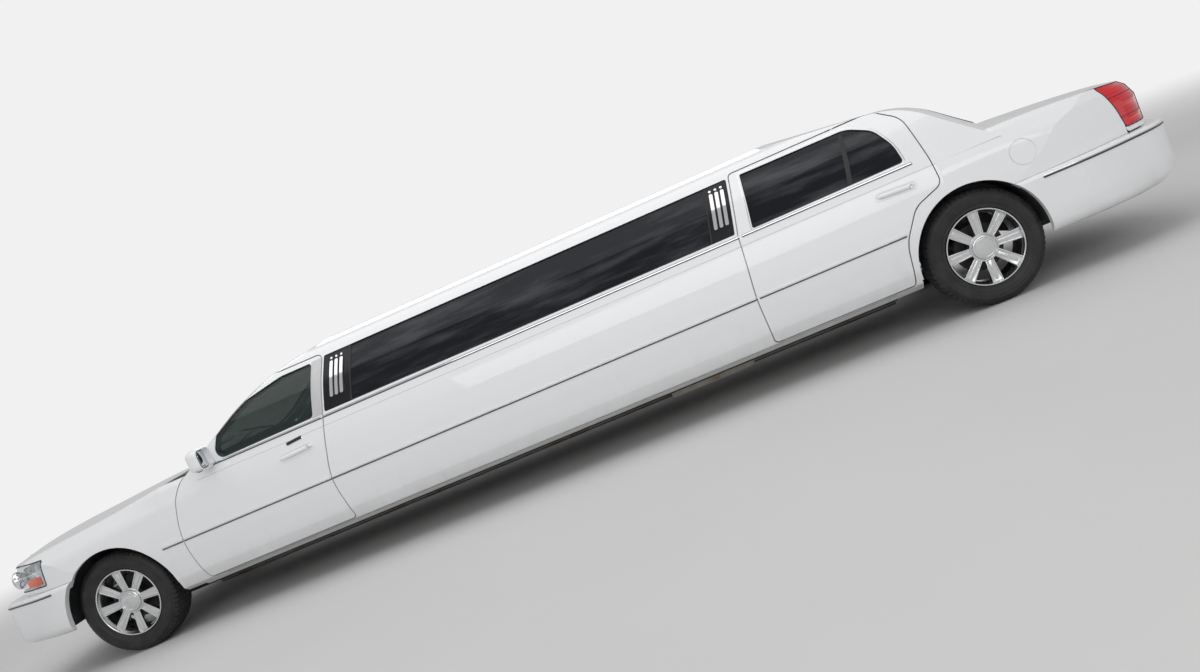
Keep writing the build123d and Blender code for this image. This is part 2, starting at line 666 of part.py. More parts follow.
def trunk_plan(gap=0.0):
    return [
        (TAIL_X - 100.0, TRUNK_REAR_HALF + gap, 10.0), (TAIL_X - 100.0, -TRUNK_REAR_HALF - gap, 10.0),
        (TAIL_X + 300.0, -TRUNK_REAR_HALF - gap - 40.0, 300.0), (TRUNK_FRONT_X + gap, -TRUNK_FRONT_HALF - gap, 60.0),
        (TRUNK_FRONT_X + gap, TRUNK_FRONT_HALF + gap, 60.0), (TAIL_X + 300.0, TRUNK_REAR_HALF + gap + 40.0, 300.0),
    ]


def trunk_lid(tail_outer, tail_inner):
    lid = (tail_outer - tail_inner) & plan_prism(trunk_plan(), TRUNK_LOW_Z, 1200)
    backing = block(PLATE_FACE_X, PLATE_FACE_X + PLATE_BACKING, -185, 185, 690, 880)
    lid = lid + (backing & tail_outer)
    lid = lid - block(TAIL_X, PLATE_FACE_X, -170, 170, 700, 870)
    for y in (-PLATE_HOLE_SPAN_Y / 2, PLATE_HOLE_SPAN_Y / 2):
        for z in (-PLATE_HOLE_SPAN_Z / 2, PLATE_HOLE_SPAN_Z / 2):
            lid = lid - rod_x(y, PLATE_CENTRE_Z + z, PLATE_HOLE_RADIUS, TAIL_X, TAIL_X + 150)
    return largest(lid)


def tail_lamp(tail_outer):
    lamp = (tail_outer - SHAPES["tail_deep"]) & side_prism(TAIL_LAMP_SIDE, LAMP_TAIL_Y, 1100)
    lamp = lamp - plan_prism(trunk_plan(PANEL_GAP - 1.0), 500, 1200)
    return largest(lamp)


def rear_quarter(tail_shell, cabin):
    side = tail_shell & wide_block(-5000, CABIN_REAR_X, 200, 1200, 0)
    side = side - SHAPES["inner"]
    pillar = cabin & wide_block(-5000, QUARTER_SPLIT_X, 200, ROOF_SEAM_Z, 0)
    pillar = pillar - SHAPES["tail_inner"]
    side = side + pillar
    side = side - side_prism(REAR_DOOR, 450, 1100, -PANEL_GAP)
    side = side - plan_prism(trunk_plan(PANEL_GAP - 1.0), 500, 1200)
    side = side - rear_glass_opening()
    side = side - arch_cut(REAR_ARCH)
    side = side - block(-5000, REAR_AXLE_X, -10, 1100, 200, BUMPER_TOP_Z + SEAM)
    side = side - side_prism(TAIL_LAMP_SIDE, LAMP_TAIL_Y - LAMP_GAP, 1100, -LAMP_GAP)
    side = side - block(-5000, QUARTER_SPLIT_X, -10, 820, 200, 900)
    side = side - block(-5000, TAIL_X + 200, -10, 560, 200, 1200)
    side = side - rod_y(FLAP_X, FLAP_Z, FLAP_RADIUS + 6, 900, 1100)
    side = side - liner_room(REAR_LINER)
    return largest(side)


# Fuel flap

def fuel_flap(tail_outer):
    skin = tail_outer - rear_body(FLAP_THICK)
    return largest(skin & rod_y(FLAP_X, FLAP_Z, FLAP_RADIUS, 900, 1100))


def fuel_pocket():
    cup = rod_y(FLAP_X, FLAP_Z, FLAP_RADIUS + 30, 880, 934)
    cup = cup - rod_y(FLAP_X, FLAP_Z, FLAP_RADIUS + 6, 890, 940)
    neck = rod_y(FLAP_X, FLAP_Z, 30, 888, 920)
    return (cup & SHAPES["tail_inner"]) + neck


# Wheels

def tyre(centre_y):
    half_w = TYRE_WIDTH / 2
    profile = [
        (RIM_RADIUS + TYRE_SEAT_GAP, -half_w + 16), (RIM_RADIUS + 50, -half_w),
        (TYRE_RADIUS - 18, -half_w + 4), (TYRE_RADIUS, -half_w + 26),
        (TYRE_RADIUS, half_w - 26), (TYRE_RADIUS - 18, half_w - 4),
        (RIM_RADIUS + 50, half_w), (RIM_RADIUS + TYRE_SEAT_GAP, half_w - 16),
    ]
    return wheel_place(revolve(Plane.XZ * make_face(Polyline(*profile, close=True)), axis=Axis.Z), centre_y)


def wheel_place(piece, centre_y):
    """Turns a wheel made about Z so that its outer face looks out along +Y."""
    return Pos(0, centre_y, TYRE_RADIUS) * (Rot(-90, 0, 0) * piece)


def rim(centre_y):
    """Barrel, hub and broad bar spokes; the outer face is towards +Z while it is made."""
    half_w = RIM_WIDTH / 2
    barrel = Pos(0, 0, -half_w) * Cylinder(RIM_RADIUS, RIM_WIDTH, align=(Align.CENTER, Align.CENTER, Align.MIN))
    well = [(0, -half_w - 5), (RIM_RADIUS - RIM_WALL, -half_w - 5), (RIM_RADIUS - 26, -half_w + 40),
            (RIM_RADIUS - 26, half_w - 40), (RIM_RADIUS - RIM_WALL, half_w + 5), (0, half_w + 5)]
    barrel = barrel - revolve(Plane.XZ * make_face(Polyline(*well, close=True)), axis=Axis.Z)
    face_low, face_high = half_w - 72, half_w - 38
    hub = Pos(0, 0, face_low) * Cylinder(HUB_RADIUS, face_high - face_low + 6, align=(Align.CENTER, Align.CENTER, Align.MIN))
    wheel = barrel + hub
    length = RIM_RADIUS - 20
    spoke = extrude(Pos(length / 2, 0, face_low) * Rectangle(length, SPOKE_WIDTH), amount=face_high - face_low)
    pocket = extrude(Pos(length / 2 + 20, 0, face_high - 8) * Rectangle(length - 60, SPOKE_WIDTH - 22), amount=20)
    spoke = spoke - pocket
    for i in range(SPOKE_COUNT):
        wheel = wheel + Rot(0, 0, i * 360 / SPOKE_COUNT) * spoke
    cap = Pos(0, 0, face_high + 6) * Cylinder(CAP_RADIUS, 14, align=(Align.CENTER, Align.CENTER, Align.MIN))
    disc = Pos(0, 0, DISC_LOW) * Cylinder(BRAKE_DISC_RADIUS, 24, align=(Align.CENTER, Align.CENTER, Align.MIN))
    carrier = Pos(0, 0, DISC_LOW) * Cylinder(60, face_low - DISC_LOW + 1, align=(Align.CENTER, Align.CENTER, Align.MIN))
    bore = Pos(0, 0, DISC_LOW - 5) * Cylinder(SPINDLE_RADIUS + SPINDLE_GAP, 75, align=(Align.CENTER, Align.CENTER, Align.MIN))
    wheel = wheel + cap + disc + carrier - bore
    return wheel_place(wheel, centre_y)


# Running gear

def knuckle():
    """Left steering knuckle: upright, spindle and brake caliper."""
    y = STEER_AXIS_Y
    upright = block(FRONT_AXLE_X - 32, FRONT_AXLE_X + 32, y - 14, y + 20, TYRE_RADIUS - 105, TYRE_RADIUS + 125)
    inner_face = FRONT_TRACK / 2 + DISC_LOW
    spindle = rod_y(FRONT_AXLE_X, TYRE_RADIUS, SPINDLE_RADIUS, y, inner_face + 62)
    shoulder = rod_y(FRONT_AXLE_X, TYRE_RADIUS, 42, y + 10, inner_face - 5)
    caliper = block(FRONT_AXLE_X - 190, FRONT_AXLE_X - 110, inner_face - 34, inner_face - 6,
                    TYRE_RADIUS - 75, TYRE_RADIUS + 75)
    bracket = block(FRONT_AXLE_X - 130, FRONT_AXLE_X, inner_face - 34, inner_face - 14, TYRE_RADIUS - 30, TYRE_RADIUS + 30)
    return upright + spindle + shoulder + caliper + bracket


def front_suspension():
    """Left lower arm, and left upper arm with its tower, each ending in a ball pin."""
    low_z = TYRE_RADIUS - 105
    high_z = TYRE_RADIUS + 125
    lower = block(FRONT_AXLE_X - 40, FRONT_AXLE_X + 40, RAIL_Y + 35, STEER_AXIS_Y + 26, low_z - 30, low_z - 6)
    lower = lower + rod_z(FRONT_AXLE_X, STEER_AXIS_Y, 9, low_z - 8, low_z - 0.4)
    upper = block(FRONT_AXLE_X - 30, FRONT_AXLE_X + 30, RAIL_Y + 5, STEER_AXIS_Y + 20, high_z + 6, high_z + 24)
    tower = block(FRONT_AXLE_X - 60, FRONT_AXLE_X + 60, RAIL_Y - 35, RAIL_Y + 30, RAIL_LOW + RAIL_HEIGHT, high_z + 24)
    upper = upper + rod_z(FRONT_AXLE_X, STEER_AXIS_Y, 9, high_z + 0.4, high_z + 8) + tower
    return lower, upper


def chassis():
    """Two long rails that rise over the rear axle, joined by cross members."""
    top = RAIL_LOW + RAIL_HEIGHT
    ends = [
        (RAIL_REAR_X, RAIL_LOW + KICK_UP), (RAIL_REAR_X, top + KICK_UP),
        (REAR_AXLE_X + 300, top + KICK_UP), (REAR_AXLE_X + 520, top),
        (FRONT_AXLE_X + 330, top), (FRONT_AXLE_X + 500, top + FRONT_KICK),
        (RAIL_FRONT_X, top + FRONT_KICK), (RAIL_FRONT_X, RAIL_LOW + FRONT_KICK),
        (FRONT_AXLE_X + 520, RAIL_LOW + FRONT_KICK), (FRONT_AXLE_X + 350, RAIL_LOW),
        (REAR_AXLE_X + 500, RAIL_LOW), (REAR_AXLE_X + 280, RAIL_LOW + KICK_UP),
    ]
    face = Pos(0, RAIL_Y - RAIL_WIDTH / 2, 0) * (Plane.XZ * make_face(Polyline(*ends, close=True)))
    rail = extrude(face, amount=RAIL_WIDTH, dir=(0, 1, 0))
    frame = rail + right_of(rail)
    first, last = REAR_AXLE_X + 620, FRONT_AXLE_X - 702
    inner = RAIL_Y - RAIL_WIDTH / 2 + 5
    members = [(first + (last - first) * i / (CROSS_COUNT - 1), 0.0) for i in range(CROSS_COUNT)]
    members += [(REAR_AXLE_X - 420, KICK_UP), (RAIL_REAR_X + 40, KICK_UP), (RADIATOR_X - 90, FRONT_KICK)]
    for x, raised in members:
        low_z = RAIL_LOW + raised + 10
        frame = frame + block(x - 32, x + 32, -inner, inner, low_z, low_z + 50)
    frame = frame + block(FRONT_AXLE_X - 70, FRONT_AXLE_X + 70, -inner, inner, RAIL_LOW + 10, RAIL_LOW + 70)
    for arm in front_suspension():
        frame = frame + arm + right_of(arm)
    return frame


def floor_pan():
    rear_x, front_x = QUARTER_SPLIT_X - 60, FIREWALL_X
    inner = TUNNEL_HALF - TUNNEL_WALL
    plate = block(rear_x, front_x, -FLOOR_HALF, FLOOR_HALF, FLOOR_Z, FLOOR_Z + FLOOR_THICK)
    tunnel = block(rear_x, front_x, -TUNNEL_HALF, TUNNEL_HALF, FLOOR_Z, TUNNEL_TOP_Z)
    hollow = block(rear_x - 10, front_x + 10, -inner, inner, FLOOR_Z - 5, TUNNEL_TOP_Z - TUNNEL_WALL)
    return (plate + tunnel) - hollow


def over_tunnel(piece):
    """Lets a piece that stands on the floor straddle the tunnel."""
    half = TUNNEL_HALF + TUNNEL_ROOM
    return piece - block(-5000, 5000, -half, half, FLOOR_Z, TUNNEL_TOP_Z + TUNNEL_ROOM)


def rear_floor():
    """Boot floor, the step up behind the saloon and the shelf under the rear window."""
    front_x = QUARTER_SPLIT_X - 60
    half = REAR_FLOOR_HALF
    floor = block(TAIL_X + 270, front_x, -half, half, TRUNK_FLOOR_Z, TRUNK_FLOOR_Z + FLOOR_THICK)
    wall = block(TRUNK_BULKHEAD_X, TRUNK_BULKHEAD_X + 12, -half, half, TRUNK_FLOOR_Z, SHELF_Z)
    riser = block(front_x - 10, front_x, -half, half, FLOOR_Z, TRUNK_FLOOR_Z + FLOOR_THICK)
    shelf = block(SHELF_REAR_X, TRUNK_BULKHEAD_X + 30, -half, half, SHELF_Z - 12, SHELF_Z)
    return over_tunnel(floor + wall + riser + shelf)


def wheel_liner(liner, inner_y):
    """An arched skin over one wheel, open below."""
    station, height, radius = liner
    skin = rod_y(station, height, radius + LINER_WALL, inner_y, LINER_OUT)
    skin = skin - rod_y(station, height, radius, inner_y - 5, LINER_OUT + 5)
    return skin & block(station - 600, station + 600, inner_y, LINER_OUT, height, 1000)


def liner_room(liner):
    """What a liner needs cleared out of the wall and the bumper beside it."""
    station, height, radius = liner
    return rod_y(station, height, radius + LINER_WALL + LINER_GAP, 0, LINER_OUT + LINER_GAP)


def wheel_liners():
    front = wheel_liner(FRONT_LINER, RAIL_Y + 60)
    inner_y = REAR_FLOOR_HALF + LINER_GAP
    station, height, radius = REAR_LINER
    cheek = rod_y(station, height, radius + LINER_WALL, inner_y, inner_y + LINER_WALL)
    rear = wheel_liner(REAR_LINER, inner_y) + (cheek & wide_block(-5000, 5000, TRUNK_FLOOR_Z, 1000))
    return joined([both_sides(front), both_sides(rear)])


def rear_axle():
    half_track = REAR_TRACK / 2
    inner_face = half_track + DISC_LOW
    tube = rod_y(REAR_AXLE_X, TYRE_RADIUS, 38, -inner_face + 5, inner_face - 5)
    stubs = rod_y(REAR_AXLE_X, TYRE_RADIUS, SPINDLE_RADIUS, -inner_face - 62, inner_face + 62)
    case = Pos(REAR_AXLE_X, 0, TYRE_RADIUS) * Sphere(135)
    nose = rod_x(0, TYRE_RADIUS, 60, REAR_AXLE_X, REAR_AXLE_X + 240)
    axle = tube + stubs + case + nose
    for side in (-1, 1):
        link_y = side * 520
        axle = axle + block(REAR_AXLE_X - 45, REAR_AXLE_X + 45, link_y - 25, link_y + 25, TYRE_RADIUS - 60, TYRE_RADIUS + 60)
    return axle


def propshaft():
    start = REAR_AXLE_X + 242
    end = ENGINE_X - 1000
    return rod_x(0, TYRE_RADIUS - 10, 42, start, end)


def engine():
    """Plain block for engine and gearbox."""
    motor = block(ENGINE_X - 300, ENGINE_X + 300, -290, 290, RAIL_LOW + 80, 800)
    gearbox = block(ENGINE_X - 1000, ENGINE_X - 300, -GEARBOX_HALF, GEARBOX_HALF, RAIL_LOW + 75, RAIL_LOW + 215)
    return motor + gearbox


def radiator():
    return block(RADIATOR_X - 20, RADIATOR_X + 20, -350, 350, RAIL_LOW + FRONT_KICK, 800)


def exhaust():
    """Pipe below the cross members, with a silencer between two of them."""
    pipe = rod_x(EXHAUST_Y, EXHAUST_Z, 26, EXHAUST_TAIL_X, ENGINE_X - 350)
    box = block(-1370, -760, EXHAUST_Y - 95, EXHAUST_Y + 95, EXHAUST_Z - 24, EXHAUST_Z + 90)
    return pipe + box


def fuel_tank():
    return block(TAIL_X + 340, REAR_AXLE_X - 470, -360, 360, 250, TRUNK_FLOOR_Z - 10)


# Inside

def seat(centre_y, front_x, width):
    """One front seat: cushion, raked back and head rest."""
    low_y, high_y = centre_y - width / 2, centre_y + width / 2
    outline = [
        (front_x - 560, 380.0, 30.0), (front_x, 380.0, 30.0), (front_x + 10, 560.0, 45.0),
        (front_x - 430, 530.0, 60.0), (front_x - 640, 1060.0, 60.0), (front_x - 760, 1040.0, 50.0),
    ]
    body = side_prism(outline, low_y, high_y)
    rest = side_prism([(front_x - 745, 1075.0, 30.0), (front_x - 660, 1080.0, 30.0),
                       (front_x - 672, 1250.0, 35.0), (front_x - 770, 1240.0, 35.0)],
                      centre_y - 140, centre_y + 140)
    post = block(front_x - 715, front_x - 700, centre_y - 60, centre_y + 60, 1000, 1120)
    base = block(front_x - 520, front_x - 60, low_y + 60, high_y - 60, FLOOR_Z + FLOOR_THICK, 390)
    return body + rest + post + base


def front_seats():
    return joined([over_tunnel(seat(y, SEAT_FRONT_X, SEAT_WIDTH)) for y in (SEAT_Y, -SEAT_Y)])


def dashboard():
    outline = [(2230.0, 700.0, 40.0), (2560.0, 640.0, 20.0), (2560.0, 930.0, 20.0),
               (2330.0, 950.0, 60.0), (2205.0, 900.0, 60.0)]
    return side_prism(outline, -775, 775)


def steering_wheel():
    ring = Torus(185, 15)
    spokes = Box(360, 40, 12) + Box(40, 180, 12, align=(Align.CENTER, Align.MAX, Align.CENTER)) + Cylinder(65, 34)
    column = Pos(0, 0, -130) * Cylinder(28, 240)
    wheel = ring + spokes + column
    return Pos(2085, SEAT_Y, 860) * (Rot(0, -62, 0) * (Rot(0, 0, 90) * wheel))


def partition():
    wall = block(PARTITION_X, PARTITION_X + 40, -800, 800, FLOOR_Z + FLOOR_THICK, 1000)
    screen = block(PARTITION_X + 10, PARTITION_X + 30, -620, 620, 1000, 1340)
    return over_tunnel(wall + screen)


def saloon_seats():
    """Long side bench along the right wall, and the rear bench across the car behind it."""
    base_z = FLOOR_Z + FLOOR_THICK
    step_x = QUARTER_SPLIT_X - 60
    side = [(-810.0, base_z, 10.0), (-420.0, base_z, 10.0), (-400.0, 640.0, 40.0), (-690.0, 615.0, 40.0),
            (-735.0, 1080.0, 36.0), (-820.0, 1080.0, 30.0)]
    bench = front_prism(side, BENCH_REAR_X + BENCH_SPACE, BENCH_FRONT_X)
    rear = [
        (step_x + 10, base_z, 5.0), (BENCH_REAR_X, base_z, 10.0), (BENCH_REAR_X + 10, 640.0, 40.0),
        (BENCH_REAR_X - 430, 615.0, 40.0), (BENCH_REAR_X - 560, 1120.0, 34.0), (BENCH_REAR_X - 650, 1110.0, 34.0),
        (BENCH_REAR_X - 620, TRUNK_FLOOR_Z + FLOOR_THICK, 10.0), (step_x + 10, TRUNK_FLOOR_Z + FLOOR_THICK, 5.0),
    ]
    return joined([over_tunnel(bench), over_tunnel(side_prism(rear, -680, 680))])


def bar_cabinet():
    """Low cabinet along the left wall with a bottle rack of open bays."""
    low = block(BAR_REAR_X, BAR_FRONT_X, 540, 805, FLOOR_Z + FLOOR_THICK, 820)
    bay = (BAR_FRONT_X - BAR_REAR_X) / BAR_BAYS
    for i in range(BAR_BAYS):
        low = low - block(BAR_REAR_X + i * bay + 15, BAR_REAR_X + (i + 1) * bay - 15, 520, 780, 480, 790)
    return low


# Glass and trim in the long side

def long_glass():
    return SHAPES["glass"] & side_prism(
        raked_outline(LONG_WINDOW_REAR + SEAM, LONG_WINDOW_FRONT - SEAM, LONG_WINDOW_LOW, LONG_WINDOW_HIGH, 12.0),
        450, 1100)


def end_panels():
    spans = [(LONG_WINDOW_FRONT, END_PANEL_FRONT), (END_PANEL_REAR, LONG_WINDOW_REAR)]
    skin = SHAPES["panel"]
    return [skin & side_prism(raked_outline(a, b, LONG_WINDOW_LOW, LONG_WINDOW_HIGH, 12.0), 450, 1100)
            for a, b in spans]


def pillar_bars():
    bars = []
    skin = left_half(cabin_body(-BAR_PROUD)) - SHAPES["panel_front"]
    spans = [(LONG_WINDOW_FRONT, END_PANEL_FRONT), (END_PANEL_REAR, LONG_WINDOW_REAR)]
    for low_x, high_x in spans:
        lean = PILLAR_RAKE * (BAR_LOW - LONG_WINDOW_LOW)
        for i in range(BAR_COUNT):
            x = (low_x + high_x) / 2 - lean + (i - (BAR_COUNT - 1) / 2) * BAR_PITCH
            outline = raked_outline(x - BAR_WIDTH / 2, x + BAR_WIDTH / 2, BAR_LOW, BAR_HIGH, 8.0)
            bars.append(skin & side_prism(outline, 450, 1100))
    return bars


def mirror_arm():
    """Left door mirror: a rounded shell open to the rear, on a short foot at the window's corner."""
    x, y, z = MIRROR
    deep, wide, high = MIRROR_SIZE
    shell = Pos(x, y, z) * fillet(Box(deep, wide, high).edges(), MIRROR_ROUNDING)
    shell = shell & block(x - deep / 2 + MIRROR_RIM, x + deep, 0, 1200, 0, 1700)
    face = fillet(Box(deep, wide - 2 * MIRROR_RIM, high - 2 * MIRROR_RIM).edges().filter_by(Axis.X), 36)
    shell = shell - Pos(x - deep / 2 - MIRROR_RIM, y, z) * face
    foot = block(x - 10, x + 38, 868, y - 60, z - 62, z - 22)
    return shell + foot


def save(name, piece):
    export_step(piece, f"parts/{name}.step")


def make_shapes():
    SHAPES["glasshouse"] = glasshouse()
    SHAPES["outer"] = left_half(cabin_body())
    SHAPES["flange"] = left_half(cabin_prism(DOOR_FLANGE))
    SHAPES["lip"] = left_half(cabin_prism(DOOR_FLANGE + FLANGE_GAP))
    SHAPES["side_inner"] = left_half(cabin_prism(BODY_WALL))
    SHAPES["inner"] = left_half(cabin_body(BODY_WALL))
    glass_out = cabin_body(GLASS_SET_IN)
    glass_in = cabin_body(GLASS_SET_IN + GLASS_THICK)
    SHAPES["glass_full"] = glass_out - glass_in
    SHAPES["glass"] = left_half(SHAPES["glass_full"])
    SHAPES["panel_front"] = left_half(cabin_body(PANEL_SET_IN))
    SHAPES["panel"] = SHAPES["panel_front"] - left_half(cabin_body(PANEL_SET_IN + 14.0))
    SHAPES["nose_deep"] = front_body(LAMP_DEPTH)
    SHAPES["tail_deep"] = rear_body(LAMP_DEPTH)
    SHAPES["tail_inner"] = rear_body(WING_WALL)


def main():
    os.makedirs("parts", exist_ok=True)
    make_shapes()
    shell = cabin_shell()
    nose_outer = front_body()
    nose_shell = nose_outer - front_body(WING_WALL)
    tail_outer = rear_body()
    tail_shell = tail_outer - SHAPES["tail_inner"]
    save("chassis_frame", chassis())
    save("floor_pan", floor_pan())
    save("rear_floor", rear_floor())
    save("firewall", firewall())
    save("scuttle_panel", scuttle(nose_shell))
    save("engine_block", engine())
    save("wheel_liners", wheel_liners())
    save("radiator", radiator())
    save("exhaust", exhaust())
    save("fuel_tank", fuel_tank())
    save("rear_axle", rear_axle())
    save("propshaft", propshaft())
    save("front_wings", both_sides(front_wing(nose_shell, shell)))
    save("body_sides", both_sides(body_side(shell)))
    save("rear_quarters", both_sides(rear_quarter(tail_shell, shell)))
    save("roof_panel", roof_panel(shell))
    save("windscreen_glass", SHAPES["glass_full"] & screen_opening())
    save("rear_window_glass", SHAPES["glass_full"] & rear_glass_opening())
    save("long_windows", both_sides(long_glass()))
    save("window_end_panels", joined([both_sides(panel) for panel in end_panels()]))
    save("pillar_bars", joined([both_sides(bar) for bar in pillar_bars()]))
    save("front_bumper", front_bumper())
    save("rear_bumper", rear_bumper())
    save("grille", grille())
    save("headlamps", both_sides(headlamp(nose_outer)))
    save("tail_lamps", both_sides(tail_lamp(tail_outer)))
    save("hood", hood(nose_outer, front_body(LID_WALL)))
    save("trunk_lid", trunk_lid(tail_outer, rear_body(LID_WALL)))
    save("fuel_flap", fuel_flap(tail_outer))
    save("fuel_pocket", fuel_pocket())
    save("front_seats", front_seats())
    save("dashboard", dashboard())
    save("steering_wheel", steering_wheel() - dashboard())
    save("partition", partition())
    save("saloon_seats", saloon_seats())
    save("bar_cabinet", bar_cabinet())
    doors = {
        "front": (door_panel(FRONT_DOOR, FRONT_WINDOW) + mirror_arm(), door_glass(FRONT_WINDOW)),
        "rear": (door_panel(REAR_DOOR, REAR_WINDOW), door_glass(REAR_WINDOW)),
    }
    for place, (panel, glass) in doors.items():
        save(f"{place}_door_left", panel)
        save(f"{place}_door_right", right_of(panel))
        save(f"{place}_door_glass_left", glass)
        save(f"{place}_door_glass_right", right_of(glass))
    left_knuckle = knuckle()
    save("knuckle_left", left_knuckle)
    save("knuckle_right", right_of(left_knuckle))
    for place, x, track in (("front", FRONT_AXLE_X, FRONT_TRACK), ("rear", REAR_AXLE_X, REAR_TRACK)):
        for kind, piece in (("tyre", tyre(track / 2)), ("rim", rim(track / 2))):
            placed = Pos(x, 0, 0) * piece
            save(f"{kind}_{place}_left", placed)
            save(f"{kind}_{place}_right", right_of(placed))


SHAPES = {}

if __name__ == "__main__":
    main()
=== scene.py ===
# %% [markdown]
# A stretch limousine, dressed around its CAD frame.
# The frame gives every panel its place and every moving body its name. This lesson adds what it leaves
# out: paint, rubber, glass, trim strips, lamps, tread and leather. All of it is modelled in metres, in
# the frame's own axes: +X forward, +Y to the left, +Z up.

# %% Load the frame and keep its size
import json
import math

import bmesh
import bpy
from mathutils import Matrix, Vector
from mathutils.bvhtree import BVHTree


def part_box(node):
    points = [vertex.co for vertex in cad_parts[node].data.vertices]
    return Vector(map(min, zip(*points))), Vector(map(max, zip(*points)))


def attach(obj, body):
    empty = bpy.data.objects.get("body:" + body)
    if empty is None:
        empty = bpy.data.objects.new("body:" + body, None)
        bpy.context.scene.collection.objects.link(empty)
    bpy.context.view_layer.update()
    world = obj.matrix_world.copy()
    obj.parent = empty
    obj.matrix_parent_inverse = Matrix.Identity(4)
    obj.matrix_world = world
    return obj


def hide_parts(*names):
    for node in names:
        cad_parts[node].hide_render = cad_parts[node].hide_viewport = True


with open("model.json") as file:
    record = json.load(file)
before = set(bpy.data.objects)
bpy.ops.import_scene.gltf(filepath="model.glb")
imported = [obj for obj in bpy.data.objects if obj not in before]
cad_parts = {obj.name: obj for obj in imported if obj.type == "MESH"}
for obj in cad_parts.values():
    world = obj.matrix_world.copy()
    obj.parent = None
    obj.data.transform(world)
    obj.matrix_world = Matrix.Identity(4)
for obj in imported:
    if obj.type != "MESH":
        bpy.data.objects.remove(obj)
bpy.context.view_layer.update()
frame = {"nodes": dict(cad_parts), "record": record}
NODES = frame["nodes"]

# %% [markdown]
# The camera stands beside the car a little behind its middle, at chest height, and is rolled to one
# side. Its place was solved from the wheels and the door edges, so it is written as numbers here. A
# Track To constraint could aim a camera instead, but a constraint can't hold the roll. A camera looks
# straight down until it is turned, so the pitch is counted from there.

# %% Camera
CAMERA_PLACE = Vector((-1.183, 6.452, 1.203))
CAMERA_YAW, CAMERA_PITCH, CAMERA_ROLL = (math.radians(angle) for angle in (6.72, -4.49, -23.57))
FOCAL_PIXELS, IMAGE_PIXELS, SENSOR = 892.8, 1200, 36.0


def rotation(angle, axis):
    return Matrix.Rotation(angle, 4, axis)


camera_data = bpy.data.cameras.new("camera")
camera_data.sensor_width = SENSOR
camera_data.lens = FOCAL_PIXELS / IMAGE_PIXELS * SENSOR
camera_data.clip_end = 200.0
camera = bpy.data.objects.new("camera", camera_data)
heading = (rotation(math.pi + CAMERA_YAW, "Z") @ rotation(math.pi / 2 + CAMERA_PITCH, "X")
           @ rotation(CAMERA_ROLL, "Z"))
camera.matrix_world = Matrix.Translation(CAMERA_PLACE) @ heading
bpy.context.collection.objects.link(camera)
bpy.context.scene.camera = camera
bpy.context.scene.view_settings.view_transform = "Standard"
print("lens", round(camera_data.lens, 2), "mm")

# %% [markdown]
# Shader nodes are easier to read as sums than as boxes and wires. This small class wraps one socket,
# so that mask * 2 + 1 adds its Math nodes by itself, and its method named node adds any other node.

# %% Sums on shader sockets
class Wire:
    """One output socket of a material's nodes, that can be used in sums."""

    def __init__(self, tree, socket):
        self.tree = tree
        self.socket = socket

    def node(self, kind, settings=None, inputs=None, output=0):
        """Adds a node: its settings first, then the values or wires of its sockets."""
        made = self.tree.nodes.new(kind)
        for name, value in (settings or {}).items():
            setattr(made, name, value)
        for name, value in (inputs or {}).items():
            if isinstance(value, Wire):
                self.tree.links.new(value.socket, made.inputs[name])
            else:
                made.inputs[name].default_value = value
        return Wire(self.tree, made.outputs[output])

    def sum_of(self, operation, first, second=0.0):
        return self.node("ShaderNodeMath", {"operation": operation}, {0: first, 1: second})

    def __add__(self, other):
        return self.sum_of("ADD", self, other)

    def __sub__(self, other):
        return self.sum_of("SUBTRACT", self, other)

    def __rsub__(self, other):
        return self.sum_of("SUBTRACT", other, self)

    def __mul__(self, other):
        return self.sum_of("MULTIPLY", self, other)

    def __gt__(self, other):
        return self.sum_of("GREATER_THAN", self, other)

    def between(self, low, high):
        """0 below low, 1 above high, and a smooth step from one to the other."""
        return self.node("ShaderNodeMapRange", {"interpolation_type": "SMOOTHSTEP"},
                         {0: self, 1: low, 2: high, 3: 0.0, 4: 1.0})

    def blend(self, first, second):
        """A colour from first to second, with this wire as the share of the second."""
        inputs = {0: self}
        for socket, value in ((6, first), (7, second)):
            inputs[socket] = value if isinstance(value, Wire) else (*value, 1.0)
        return self.node("ShaderNodeMix", {"data_type": "RGBA"}, inputs, 2)

    def waves(self, pitch):
        """Even ripples from 0 to 1 along this wire's value."""
        scaled = self * pitch
        return scaled.sum_of("SINE", scaled) * 0.5 + 0.5

    def noise(self, scale, detail=3.0, roughness=0.5):
        """Noise on this wire's coordinates, from 0 to 1."""
        return self.node("ShaderNodeTexNoise", {}, {"Vector": self, "Scale": scale, "Detail": detail,
                                                    "Roughness": roughness})

    def cells(self, scale):
        """The distance to the borders of random cells."""
        return self.node("ShaderNodeTexVoronoi", {"feature": "DISTANCE_TO_EDGE"}, {"Vector": self, "Scale": scale})

    def moved(self, place=(0, 0, 0), scale=(1, 1, 1), turn=(0, 0, 0)):
        """This wire's coordinates, shifted, stretched or turned about a place."""
        shifted = self.node("ShaderNodeVectorMath", {"operation": "SUBTRACT"}, {0: self, 1: place})
        return shifted.node("ShaderNodeMapping", {}, {"Vector": shifted, "Rotation": turn, "Scale": scale})

    def part(self, axis):
        """One of the three numbers of a coordinate."""
        return self.node("ShaderNodeSeparateXYZ", {}, {0: self}, "XYZ".index(axis))

    def length(self):
        return self.node("ShaderNodeVectorMath", {"operation": "LENGTH"}, {0: self}, "Value")

    def bump(self, height, strength=0.3, distance=0.001):
        """A bump for the Normal socket, from a height wire."""
        return self.node("ShaderNodeBump", {}, {"Strength": strength, "Distance": distance, "Height": height})


# %% [markdown]
# Every finish starts from one Principled shader and the piece's own Object coordinates. The plain
# numbers are set on the shader's sockets, and only what changes over the surface is wired in.

# %% A new finish
FINISHES = {}


